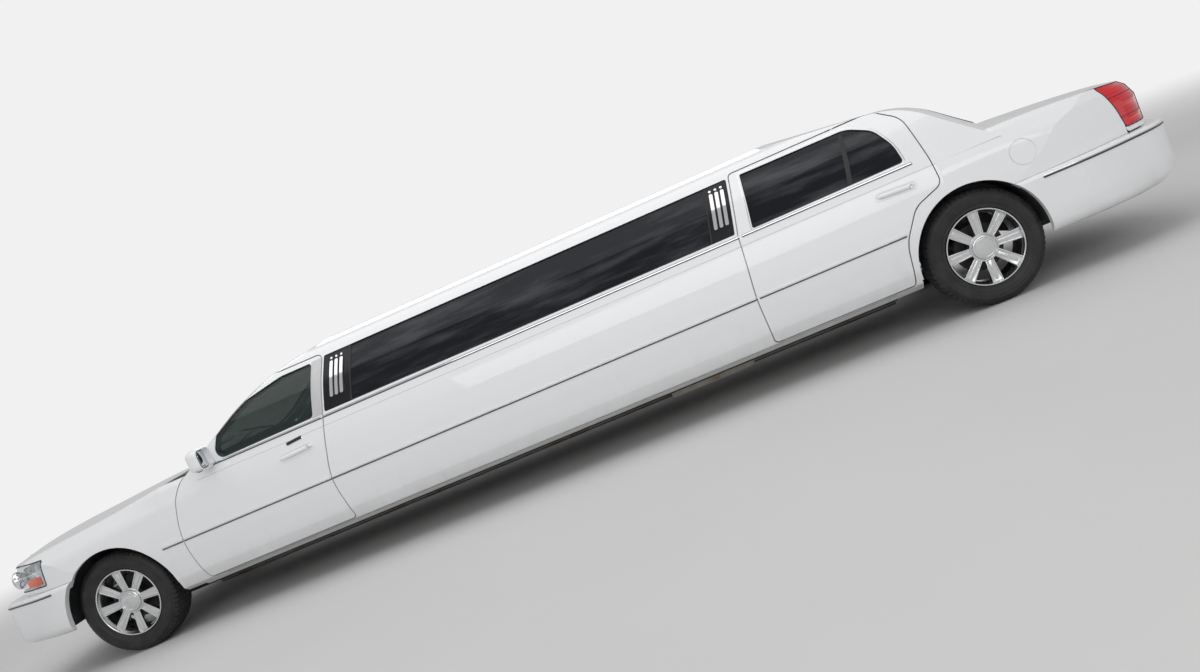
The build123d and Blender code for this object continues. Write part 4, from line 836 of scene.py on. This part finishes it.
# %% Window beads and inner frames
bead = border_cord(patch(REAR_PANE, "rear_window_bead"), 0.0050)
on_both_sides(widened(bead, REAR_PANE, 0.021, 0.021, (0, 0.0045, 0)), "chrome", REAR_PANE)
bar = border_cord(patch(FRONT_PANE, "front_window_bar"), 0.0095)
on_both_sides(widened(bar, FRONT_PANE, 0.016, 0.010, (0, -0.0125, -0.0035)), "paint", FRONT_PANE)
garnish = patch(FRONT_PANE, "front_window_garnish")
edit(garnish, "FACE", "SELECT")
bpy.ops.mesh.inset(thickness=0.024)
bpy.ops.mesh.delete(type="FACE")
solid(widened(garnish, FRONT_PANE, 0.012, 0.0, (0, -0.030, 0)), 0.006)
on_both_sides(smoothed(garnish, 40.0), "cabin_plastic", FRONT_PANE)
for node, sign in (("windscreen_glass", 1.0), ("rear_window_glass", -1.0)):
    pane = patch(node, node + "_seal", keep=lambda face: face.normal.x * sign + face.normal.z > 0.75)
    fitted(border_cord(pane, 0.0085), "seal", node)

# %% [markdown]
# Each lamp keeps its CAD outline but becomes a real unit: the outer skin of the solid is the lens,
# and the rest of it is the housing that shows through. The bowls are turned like the wheels and stood
# behind the lens, looking forward and a little to the side.

# %% Headlamps
def skin_faces(face):
    """Outer skin of a lamp: faces that look mostly outwards and away from the car's middle."""
    middle = face.calc_center_median()
    ahead = face.normal.x * math.copysign(1, middle.x)
    return middle.y > 0.35 and (face.normal.y > 0.25 or ahead > 0.25) and abs(face.normal.z) < 0.95


def back_faces(face):
    return face.calc_center_median().y > 0.35 and not skin_faces(face)


def gasket(node, name, radius):
    on_both_sides(border_cord(patch(node, name, keep=skin_faces), radius), "seal", node)


lens = solid(patch("headlamps", "headlamp_lens", keep=skin_faces), 0.003, use_even_offset=True)
housing = solid(patch("headlamps", "headlamp_housing", keep=back_faces), 0.002)
for left, look in ((smoothed(lens, 40.0), ("clear_lens", "headlamps", "lamp_clear", ["headlamps"])),
                   (smoothed(housing, 40.0), ("reflector", "headlamps"))):
    for piece in (left, twin(left, left.name + "_right")):
        fitted(smoothed(piece, 40.0), *look)

BOWL = [(0, 0), (12, 0), (12, 4), (36, 18), (56, 44), (60, 58), (63.5, 60), (63.5, 52), (58, 40), (36, 10), (0, -6)]
BULB = [(0, 2), (7, 2), (7.5, 26), (5, 34), (0, 37)]
LEAN_OUT = 0.14
for name, place, scale in (("outer", (3.935, 0.700, 0.764), 1.0), ("inner", (3.972, 0.560, 0.762), 0.92)):
    bowl = turned("headlamp_bowl_" + name, BOWL, 48, 0.001 * scale)
    bulb = turned("headlamp_bulb_" + name, BULB, 24, 0.001 * scale)
    for piece, material in ((bowl, "reflector"), (bulb, "frosted")):
        piece.rotation_euler = (0, math.pi / 2, LEAN_OUT)
        piece.location = place
        on_both_sides(smoothed(settled(piece), 40.0), material, "headlamps")

# %% [markdown]
# The amber side marker sits in the lower rear corner of each lamp. It is a band of the lamp's own
# skin, and a dark gasket runs round the whole unit.

# %% Side marker and gasket
marker = patch("headlamps", "side_marker", level_cuts(0.690, 0.748, 3.672, 3.850), skin_faces)
on_both_sides(smoothed(shifted(solid(marker, 0.006), (0, 0.0012, 0)), 40.0), "orange_lens", "headlamps")
gasket("headlamps", "headlamp_gasket", 0.0040)

# %% [markdown]
# The tail lamp is a tall red crescent. Its lens is cut into three chambers by thin grooves, and a dark
# red backing stands behind them.

# %% Tail lamps
for i, (low_z, high_z) in enumerate(((0.600, 0.7395), (0.7425, 0.8695), (0.8725, 1.100))):
    chamber = patch("tail_lamps", f"tail_lens_{i}", level_cuts(low_z, high_z), skin_faces)
    rounded(solid(chamber, 0.006, use_even_offset=True), 0.0016, degrees=50)
    left = on_both_sides(chamber, "red_lens", "tail_lamps", "lamp_red")
    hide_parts("tail_lamps")
housing = solid(patch("tail_lamps", "tail_housing", keep=back_faces), 0.002)
on_both_sides(smoothed(housing, 40.0), "red_inside", "tail_lamps")
backing = patch("tail_lamps", "tail_backing", keep=skin_faces)
edit(backing, action="SELECT")
bpy.ops.transform.shrink_fatten(value=-0.0085)
done()
on_both_sides(smoothed(solid(backing, 0.002), 40.0), "red_inside", "tail_lamps")
gasket("tail_lamps", "tail_gasket", 0.0028)

# %% [markdown]
# Small parts of the doors are rounded plates and slim bars. A plate is a plane whose corners are
# bevelled and which Solidify makes thick. A bar is a circle that is extruded from station to station
# and made wider or narrower at each. Both are placed on the skin that carries them, which a ray finds.

# %% Plates, bars and the skin under them
SKINS = {}


def skin_hit(node, start, direction):
    """Where a ray first meets a node, and the way its skin faces there."""
    if node not in SKINS:
        mesh = NODES[node].data
        SKINS[node] = BVHTree.FromPolygons([v.co for v in mesh.vertices], [p.vertices for p in mesh.polygons])
    return SKINS[node].ray_cast(Vector(start), Vector(direction))[:2]


def skin_at(node, x, z):
    """The outermost point of a node's left side."""
    return skin_hit(node, (x, 2.0, z), (0, -1, 0))


def plate(name, width, height, corner, thickness, place, facing, roll=0.0):
    """A plate with round corners whose outer face is centred on a place."""
    bpy.ops.mesh.primitive_plane_add(size=1.0)
    piece = named(name)
    piece.scale = (width, height, 1.0)
    edit(settled(piece), "VERT", "SELECT")
    bpy.ops.mesh.bevel(offset=corner, segments=6, affect="VERTICES")
    done()
    rounded(solid(piece, thickness), thickness * 0.3)
    return smoothed(faced(piece, facing, place, roll), 40.0)


def drawn(name, stations, sides=16):
    """A closed bar along X through stations of (x, y, z, half width, half height)."""
    bpy.ops.mesh.primitive_circle_add(vertices=sides, radius=1.0, fill_type="NGON", rotation=(0, math.pi / 2, 0))
    piece = named(name)
    edit(settled(piece), action="SELECT")
    last, last_wide, last_high = Vector((0, 0, 0)), 1.0, 1.0
    for i, (x, y, z, wide, high) in enumerate(stations):
        place = Vector((x, y, z))
        if i:
            bpy.ops.mesh.extrude_region_move()
        bpy.ops.transform.translate(value=place - last)
        bpy.ops.transform.resize(value=(1, wide / last_wide, high / last_high), center_override=place)
        last, last_wide, last_high = place, wide, high
    done()
    return smoothed(recalculated(piece), 50.0)


def inset_twice(piece, rule, first, second):
    """Insets the faces a rule picks by (thickness, depth), two times."""
    edit(piece)
    pick(rule)
    for thickness, depth in (first, second):
        bpy.ops.mesh.inset(thickness=thickness, depth=depth)
    done()
    return piece


# %% [markdown]
# The pull handle spans a shallow dish with a rounded rim. The dish could be cut out of the door with a
# Boolean, but that would break the door's long smooth faces, so it is a plate of its own, inset and
# sunk in the middle. The round key lock is at the bar's rear end.

# %% Door handles
HANDLES = {"front_door_left": (1.710, 0.842, 1.461, 0.853), "rear_door_left": (-2.391, 0.879, -2.622, 0.867)}
BAR_SHAPE = ((0.0, -0.002, 0.004, 0.006), (0.05, 0.005, 0.007, 0.010), (0.16, 0.010, 0.008, 0.0122),
             (0.5, 0.012, 0.0085, 0.0125), (0.84, 0.010, 0.008, 0.0118), (0.95, 0.005, 0.007, 0.010),
             (1.0, -0.002, 0.004, 0.006))
LOCK_BEHIND = 0.030

for node, (front_x, front_z, rear_x, rear_z) in HANDLES.items():
    middle, facing = skin_at(node, (front_x + rear_x) / 2, (front_z + rear_z) / 2)
    roll = math.atan2(rear_z - front_z, front_x - rear_x)
    dish = plate(node + "_dish", 0.262, 0.056, 0.0275, 0.0042, middle + facing * 0.0030, facing, roll)
    inset_twice(dish, lambda face: face.normal.dot(facing) > 0.999, (0.0045, 0.0), (0.0055, -0.0026))
    on_both_sides(smoothed(dish, 50.0), "paint", node)
    stations = [(front_x + (rear_x - front_x) * share, middle.y + out, front_z + (rear_z - front_z) * share, wide, high)
                for share, out, wide, high in BAR_SHAPE]
    on_both_sides(drawn(node + "_handle", stations), "paint", node)
    end = skin_at(node, rear_x + LOCK_BEHIND, rear_z)[0]
    lock = rod(node + "_lock", (end.x, end.y - 0.002, end.z), (end.x, end.y + 0.0225, end.z), 0.0105, 32, 0.0015)
    inset_twice(lock, lambda face: face.normal.y > 0.98, (0.003, -0.0012), (0.0035, 0.0006))
    on_both_sides(smoothed(lock), "chrome", node)

# %% [markdown]
# Over the driver's handle lies a small key pad: a bright bezel, a dark pad in it and five plain keys.

# %% Key pad
pad_place, pad_facing = skin_at("front_door_left", 1.572, 0.9205)
PAD_ROLL = math.atan2(0.009, 0.116)
KEY_PITCH = 0.0205
for name, width, height, rise, material in (("key_pad_bezel", 0.124, 0.029, 0.0024, "chrome"),
                                            ("key_pad", 0.112, 0.019, 0.0034, "lacquer_black")):
    piece = plate(name, width, height, height * 0.48, 0.004, pad_place + pad_facing * rise, pad_facing, PAD_ROLL)
    fitted(piece, material, "front_door_left")
along = Vector((math.cos(PAD_ROLL), 0, -math.sin(PAD_ROLL))) * KEY_PITCH
keys = [plate(f"key_{i}", 0.015, 0.009, 0.0035, 0.002, pad_place + pad_facing * 0.0044 + along * (i - 2),
              pad_facing, PAD_ROLL) for i in range(5)]
fitted(joined("key_pad_keys", keys), "trim", "front_door_left")

# %% [markdown]
# The mirror's shell is open to the rear. Its glass is a rounded plate on a dark carrier, set a little
# inside the shell's rim.

# %% Mirror glass
MIRROR_LOOK = (-0.978, -0.208, 0.0)
for name, width, height, corner, x, material in (("mirror_carrier", 0.150, 0.118, 0.034, 2.1550, "trim"),
                                                 ("mirror_glass", 0.143, 0.110, 0.032, 2.1525, "mirror_glass")):
    piece = plate(name, width, height, corner, 0.005, (x, 1.012, 1.050), MIRROR_LOOK)
    on_both_sides(piece, material, "front_door_left")

# %% [markdown]
# The pillar behind the front window is faced with a satin band, and a dark bar divides the rear door's
# window. Each is cut between two planes that lean back as the window does.

# %% Pillar band and window bar
RAKE = 0.265


def raked(low_x, high_x, low_z, high_z):
    """Cuts for a band between two leaning lines, whose x is given at the belt."""
    return level_cuts(low_z, high_z) + [((low_x, 0, 1.0), (-1, 0, -RAKE)), ((high_x, 0, 1.0), (1, 0, RAKE))]


band = patch("front_door_left", "pillar_band", raked(1.338, 1.414, 1.004, 1.345))
on_both_sides(raised(band, 0.0014, 0.0006), "satin", "front_door_left")
divider = patch(REAR_PANE, "window_divider", raked(-2.300, -2.270, 1.0, 1.4))
on_both_sides(raised(divider, 0.003), "seal", "rear_door_left")

# %% [markdown]
# The three bright bars on each end panel finish in a small round stud above them. The bars' places are
# read from their own tops.

# %% Studs over the pillar bars
BAR_TOP, STUD_Z, STUD_RADIUS = 1.2985, 1.3125, 0.0095
groups = []
for x in sorted(v.co.x for v in NODES["pillar_bars"].data.vertices if v.co.z > BAR_TOP and v.co.y > 0):
    if not groups or x - groups[-1][-1] > 0.012:
        groups.append([])
    groups[-1].append(x)
studs = []
for i, group in enumerate(groups):
    place, facing = skin_at("window_end_panels", (group[0] + group[-1]) / 2 - 0.003, STUD_Z)
    studs.append(rod(f"stud_{i}", place - facing * 0.002, place + facing * 0.006, STUD_RADIUS, 24, 0.0025))
on_both_sides(joined("pillar_studs", studs, 35.0), "chrome", "window_end_panels")

# %% [markdown]
# The fuel flap closes a round hole. In its gap lies a painted ledge, a turned ring that stands a
# little under the skin, so that the gap reads as a fine line and not as a black ring. There is no flap
# on the right, where a painted disc of the same curve, a little wider, closes the quarter. It is the
# flap's mesh, turned over to the other side and stretched about its own middle.

# %% Fuel flap ledge and right quarter disc
flap_low, flap_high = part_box("fuel_flap")
flap_middle = [(a + b) / 2 for a, b in zip(flap_low, flap_high)]
flap_radius = (flap_high[0] - flap_low[0]) / 2
inner, outer = flap_radius + 0.0008, flap_radius + 0.006
ledge = turned("fuel_ledge", [(inner, -0.010), (outer, -0.010), (outer, -0.0028), (inner, -0.0028)], 64, 1.0)
flap_place, flap_facing = skin_at("fuel_flap", flap_middle[0], flap_middle[2])
fitted(smoothed(faced(ledge, flap_facing, flap_place)), "paint", "rear_quarters")
spread = (flap_radius + 0.0062) / flap_radius
disc = shifted(from_node("fuel_flap", "quarter_disc"), (0, 0, 0), (spread, 1.0, spread), flap_middle)
fitted(smoothed(twin(disc, "quarter_disc_right"), 40.0), "paint", "rear_quarters")
bpy.data.objects.remove(disc)

# %% [markdown]
# Between the big panels lie small fillers: painted cheeks beside the grille, a ledge under each tail
# lamp and a corner at each end of the rear window. They stand a few millimetres under the skin, as
# the real ones do, so that the shut lines stay visible.

# %% Fillers between the panels
cheek = block("grille_cheek", (4.030, 0.370, 0.664), (4.063, 0.4275, 0.850), 0.004)
on_both_sides(smoothed(cheek), "paint", "front_wings")
base = patch("tail_lamps", "tail_base", level_cuts(0.6765, 0.7060), skin_faces)
on_both_sides(smoothed(solid(shifted(base, (0, 0, -0.030)), 0.004), 40.0), "paint", "rear_quarters")
ROOF_CORNER = ((-2.640, 0.600, 1.3625), (-2.515, 0.600, 1.3765), (-2.640, 0.742, 1.3480), (-2.515, 0.742, 1.3665))
bpy.ops.mesh.primitive_plane_add(size=1.0)
corner = named("roof_corner")
for vertex, place in zip(corner.data.vertices, ROOF_CORNER):
    vertex.co = place
on_both_sides(rounded(solid(recalculated(corner), 0.006), 0.001), "paint", "rear_quarters")

# %% [markdown]
# Between the windscreen pillar and the front door's frame the skin is almost level, so their shut gap
# would be a wide trough. A narrow painted fillet on the pillar closes it up to a fine line. It is a
# grid with two rows of points: one lies under the pillar's edge, and one just short of the door.

# %% Pillar fillet
FILLET = (  # x, then y and z of the inner and of the outer row
    (1.700, 0.706, 1.3500, 0.730, 1.3430), (1.735, 0.706, 1.3400, 0.735, 1.3325), (1.765, 0.712, 1.3290, 0.744, 1.3215),
    (1.795, 0.724, 1.3180, 0.752, 1.3100), (1.825, 0.732, 1.3050, 0.760, 1.2980), (1.855, 0.736, 1.2930, 0.770, 1.2850),
    (1.885, 0.736, 1.2815, 0.779, 1.2710), (1.915, 0.738, 1.2690, 0.790, 1.2560), (1.945, 0.744, 1.2555, 0.799, 1.2405),
    (1.975, 0.752, 1.2400, 0.808, 1.2240), (2.005, 0.772, 1.2220, 0.820, 1.2070), (2.035, 0.790, 1.2030, 0.830, 1.1890),
    (2.065, 0.806, 1.1830, 0.839, 1.1710), (2.090, 0.818, 1.1640, 0.846, 1.1530))
bpy.ops.mesh.primitive_grid_add(x_subdivisions=len(FILLET) - 1, y_subdivisions=1, size=1.0)
fillet = named("pillar_fillet")
for i, (x, inner_y, inner_z, outer_y, outer_z) in enumerate(FILLET):
    fillet.data.vertices[i].co = (x, inner_y, inner_z - 0.0012)
    fillet.data.vertices[i + len(FILLET)].co = (x, outer_y, outer_z - 0.0008)
rounded(solid(fillet, 0.0045), 0.0012, degrees=50)
on_both_sides(smoothed(fillet, 40.0), "paint", "roof_panel")

# %% [markdown]
# Wipers rest at the foot of the windscreen. Each has a flat arm from its pivot and a slim blade that
# lies on the glass. Both are straps: plates laid from one point to another, facing up from the glass.

# %% Straps and wipers
def strap(name, start, end, width, thickness, facing, corner=0.3):
    """A flat strip from one point to another, whose broad side faces a direction."""
    start, end = Vector(start), Vector(end)
    along = (end - start).normalized()
    out = Vector(facing)
    out = (out - along * out.dot(along)).normalized()
    piece = plate(name, (end - start).length, width, width * corner, thickness, (0, 0, 0), (0, 0, 1))
    piece.matrix_world = Matrix((along, out.cross(along), out)).transposed().to_4x4()
    piece.location = (start + end) / 2
    return settled(piece)


def on_screen(x, y):
    """A point on the windscreen's outer face."""
    return skin_hit("windscreen_glass", (x, y, 2.0), (0, 0, -1))[0]


OFF_GLASS = Vector((0.42, 0.0, 0.91))
for name, pivot_y, inner_y, outer_y in (("wiper_left", 0.50, 0.02, 0.60), ("wiper_right", -0.12, -0.60, -0.04)):
    inner, outer = on_screen(2.455, inner_y), on_screen(2.425, outer_y)
    pivot = Vector((2.565, pivot_y, 1.004))
    blade = strap(name + "_blade", inner + OFF_GLASS * 0.008, outer + OFF_GLASS * 0.008, 0.014, 0.007, OFF_GLASS)
    spine = strap(name + "_spine", inner.lerp(outer, 0.22) + OFF_GLASS * 0.014,
                  inner.lerp(outer, 0.78) + OFF_GLASS * 0.014, 0.009, 0.005, OFF_GLASS)
    arm = strap(name + "_arm", pivot, (inner + outer) / 2 + OFF_GLASS * 0.018, 0.017, 0.006, OFF_GLASS)
    hub = rod(name + "_hub", pivot - Vector((0, 0, 0.014)), pivot + Vector((0, 0, 0.010)), 0.015, 24, 0.003)
    fitted(joined(name, [blade, spine, arm, hub], 35.0), "trim", "scuttle_panel")

# %% [markdown]
# The grille's bright frame stands in front of a dark mesh, and the bumper's air slot has two slats.

# %% Grille mesh and air slot
bpy.ops.mesh.primitive_grid_add(x_subdivisions=64, y_subdivisions=16, size=1.0)
grille_mesh = named("grille_mesh")
grille_mesh.scale = (0.735, 0.180, 1.0)
modify(faced(grille_mesh, (1, 0, 0), (4.060, 0.0, 0.765)), "WIREFRAME", thickness=0.0035)
fitted(grille_mesh, "trim", "grille")
slats = [block(f"slat_{i}", (4.150, -0.33, z), (4.185, 0.33, z + 0.005), 0.0015) for i, z in enumerate((0.452, 0.470))]
fitted(joined("bumper_slats", slats), "trim", "front_bumper")

# %% [markdown]
# Under the hood the block carries a ribbed cover, with cam covers on both sides, an air filter box and
# a battery beside it, and hoses to the radiator. They all stay below the hood's own frame.

# %% Engine bay
RIB_PITCH, BOLT_PITCH = 0.070, 0.145
cover = [block("cover", (2.560, -0.165, 0.792), (3.330, 0.165, 0.806), 0.006)]
cam_covers = []
for i in range(10):
    x = 2.600 + RIB_PITCH * i
    cover.append(block(f"cover_rib_{i}", (x, -0.140, 0.803), (x + 0.022, 0.140, 0.8095), 0.003))
for side in (-1, 1):
    cam_covers.append(block(f"cam_cover_{side}", (2.640, side * 0.190, 0.790), (3.300, side * 0.280, 0.808), 0.008))
    for i in range(5):
        x, y = 2.68 + BOLT_PITCH * i, side * 0.235
        cam_covers.append(rod(f"bolt_{side}_{i}", (x, y, 0.800), (x, y, 0.8125), 0.008, 6, 0.001))
boxes = [block("filter_box", (3.400, 0.350, 0.560), (3.700, 0.560, 0.790), 0.015, 3),
         block("filter_lid", (3.390, 0.340, 0.760), (3.710, 0.570, 0.780), 0.005),
         block("battery", (3.450, -0.570, 0.560), (3.700, -0.390, 0.760), 0.008),
         block("relay_box", (2.950, -0.640, 0.740), (3.200, -0.500, 0.800), 0.008)]
for name, pieces, material in (("engine_cover", cover, "trim"), ("cam_covers", cam_covers, "cast"),
                               ("bay_boxes", boxes, "trim")):
    fitted(joined(name, pieces, 35.0), material, "engine_block")


def hose(name, radius, *places):
    """A tube along a smooth curve through five points."""
    bpy.ops.curve.primitive_nurbs_path_add()
    path = named(name)
    spline = path.data.splines[0]
    for point, place in zip(spline.points, places):
        point.co = (*place, 1.0)
    spline.order_u = 3
    spline.use_endpoint_u = True
    path.data.bevel_depth = radius
    path.data.bevel_resolution = 4
    path.data.use_fill_caps = True
    choose(path)
    bpy.ops.object.convert(target="MESH")
    return smoothed(bpy.context.object, 60.0)


hoses = [hose("hose_top", 0.019, (3.300, 0.100, 0.770), (3.480, 0.120, 0.785), (3.700, 0.180, 0.780),
              (3.900, 0.200, 0.750), (3.985, 0.200, 0.740)),
         hose("hose_low", 0.019, (3.540, -0.120, 0.480), (3.650, -0.160, 0.440), (3.780, -0.200, 0.450),
              (3.900, -0.220, 0.470), (3.985, -0.220, 0.480)),
         hose("air_duct", 0.033, (3.395, 0.440, 0.700), (3.300, 0.430, 0.740), (3.220, 0.380, 0.770),
              (3.180, 0.300, 0.780), (3.160, 0.240, 0.790))]
fitted(joined("bay_hoses", hoses), "seal", "engine_block")

# %% [markdown]
# Seats are padded, so each CAD cushion is only the room the padding fills. A copy of it is remeshed
# into even faces and smoothed, so that its edges round over. Then every point is moved out along its
# normal except along the seams, which stay deep: that makes the sewn channels. Cloth under pressure
# would also do it, but benches this long would take too long to simulate at a fine enough mesh.

# %% Padding with sewn channels
SEAM_WIDTH, SEAM_DEPTH, PUFF, TUCK = 0.010, 0.006, 0.007, 0.006
SEAM_PITCH = 0.16


def channelled(piece, across, pitch, start):
    """Puffs a cushion up between seams that lie a pitch apart along one axis."""
    modify(piece, "REMESH", mode="VOXEL", voxel_size=0.0135)
    modify(piece, "SMOOTH", factor=0.55, iterations=9)
    normals = [vertex.normal.copy() for vertex in piece.data.vertices]
    for vertex, normal in zip(piece.data.vertices, normals):
        offset = (vertex.co[across] - start + pitch / 2) % pitch - pitch / 2
        seam = math.exp(-(offset / SEAM_WIDTH) ** 2) * (1.0 - abs(normal[across]))
        vertex.co += normal * (PUFF * (1.0 - seam) - TUCK - SEAM_DEPTH * seam)
    modify(piece, "SMOOTH", factor=0.4, iterations=1)
    choose(piece)
    bpy.ops.object.shade_smooth()


def middle_x(piece):
    return sum(vertex.co.x for vertex in piece.data.vertices) / len(piece.data.vertices)


for node, leather in (("front_seats", "pale_leather"), ("saloon_seats", "dark_leather")):
    edit(from_node(node, node + "_cushion"), action="SELECT")
    bpy.ops.mesh.separate(type="LOOSE")
    done()
    cushions = sorted(bpy.context.selected_objects, key=lambda piece: (round(middle_x(piece), 2), piece.name))
    for i, cushion in enumerate(cushions):
        places = [vertex.co for vertex in cushion.data.vertices]
        low, high = ([limit(place[axis] for place in places) for axis in range(3)] for limit in (min, max))
        cushion.name = f"{node}_cushion_{i}"
        across = 1 if high[1] - low[1] > 0.45 * (high[0] - low[0]) else 0
        width = high[across] - low[across]
        channelled(cushion, across, width / max(3, round(width / SEAM_PITCH)), low[across])
        fitted(cushion, leather, node)
    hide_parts(node)

# %% [markdown]
# Inside each door is a lining. It is cut from the door's inner skin, like the strips outside, and made
# a few millimetres thick.

# %% Door linings
def looks_in(face):
    return face.normal.y < -0.35 and face.calc_center_median().y > 0.4


for node, low_x, high_x, material in (("front_door_left", 1.40, 2.46, "pale_plastic"),
                                      ("rear_door_left", -2.30, -1.62, "cabin_plastic")):
    lining = patch(node, node + "_lining", level_cuts(0.40, 0.965, low_x, high_x), looks_in)
    on_both_sides(raised(lining, 0.004), material, node)

# %% [markdown]
# The dashboard gets its dials and air vents, and each front seat a belt that runs from the pillar to
# the floor.

# %% Dashboard and belts
dash_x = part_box("dashboard")[0][0]
TO_REAR = (-1, 0, 0)
vents = []
for i, y in enumerate((-0.66, -0.10, 0.10, 0.66)):
    vents.append(plate(f"vent_{i}", 0.13, 0.060, 0.010, 0.006, (dash_x - 0.001, y, 0.850), TO_REAR))
    for j in range(4):
        slat_place = (dash_x - 0.006, y, 0.832 + 0.012 * j)
        vents.append(plate(f"slat_{i}_{j}", 0.115, 0.004, 0.0015, 0.008, slat_place, TO_REAR))
fitted(joined("dash_vents", vents, 35.0), "trim", "dashboard")
DIAL = [(0, 0), (46, 0), (46, 6), (52, 8), (55, 4), (55, -8), (0, -8)]
dials = [faced(turned(f"dial_{i}", DIAL, 40), TO_REAR, (dash_x - 0.002, y, 0.875)) for i, y in enumerate((0.31, 0.47))]
fitted(joined("dash_dials", dials, 35.0), "chrome", "dashboard")
belt = strap("seat_belt", (1.335, 0.705, 1.235), (1.430, 0.672, 0.40), 0.047, 0.002, (0.2, -0.95, 0.1), 0.1)
on_both_sides(belt, "webbing", "body_sides")

# %% [markdown]
# Carpet covers the floors. It is cut from the upward faces of each floor and made thick like the
# linings, so it follows the tunnel and the steps.

# %% Carpets
for node, low_x, high_x, name in (("floor_pan", -2.35, 2.60, "cabin_carpet"),
                                  ("rear_floor", -3.97, -3.30, "trunk_carpet")):
    carpet = patch(node, name, level_cuts(0.0, 2.0, low_x, high_x), lambda face: face.normal.z > 0.5)
    fitted(smoothed(solid(carpet, 0.006, 1.0)), "carpet", node)

# %% [markdown]
# A plain pale floor and soft, even light, as in a studio. The floor turns into plain light far from
# the car, at the strength the world shows to the camera, so that no horizon is seen behind it.

# %% Floor, light and world
BACKDROP, LIGHTING = 0.88, 0.50
FADE_START, FADE_END = 6.0, 17.0

bpy.ops.object.select_all(action="DESELECT")
bpy.ops.mesh.primitive_plane_add(size=160.0)
floor = named("studio_floor")

wire_in, place = finish("studio_floor", (0.62, 0.62, 0.62), 0.9)
wire_in("Base Color", place.noise(0.8, 4.0).blend((0.60, 0.60, 0.60), (0.65, 0.65, 0.645)))
tree = place.tree
lit = Wire(tree, tree.nodes["Principled BSDF"].outputs[0])
plain = lit.node("ShaderNodeEmission", {}, {"Color": (1, 1, 1, 1), "Strength": BACKDROP})
mixed = lit.node("ShaderNodeMixShader", {}, {0: place.length().between(FADE_START, FADE_END), 1: lit, 2: plain})
tree.links.new(mixed.socket, tree.nodes["Material Output"].inputs["Surface"])

floor.data.materials.append(FINISHES["studio_floor"])

for name, place, aim_z, size, watts in (("lamp_above", (0.0, 1.5, 7.5), 0.5, (12.0, 7.0), 270.0),
                                        ("lamp_left", (-2.0, 9.5, 4.2), 0.6, (11.0, 3.0), 190.0),
                                        ("lamp_right", (2.0, -9.5, 4.2), 0.6, (11.0, 3.0), 190.0)):
    data = bpy.data.lights.new(name, "AREA")
    data.shape = "RECTANGLE"
    data.size, data.size_y = size
    data.energy = watts
    lamp = bpy.data.objects.new(name, data)
    lamp.location = place
    lamp.rotation_euler = (Vector((0, 0, aim_z)) - Vector(place)).to_track_quat("-Z", "Y").to_euler()
    bpy.context.collection.objects.link(lamp)

world = bpy.data.worlds.new("studio")
bpy.context.scene.world = world
world.use_nodes = True
sky = world.node_tree
light_path = sky.nodes.new("ShaderNodeLightPath")
seen = Wire(sky, light_path.outputs["Is Camera Ray"]) + Wire(sky, light_path.outputs["Is Transmission Ray"])
strength = (seen > 0.5) * (BACKDROP - LIGHTING) + LIGHTING
sky.nodes["Background"].inputs["Color"].default_value = (1.0, 1.0, 1.0, 1.0)
sky.links.new(strength.socket, sky.nodes["Background"].inputs["Strength"])
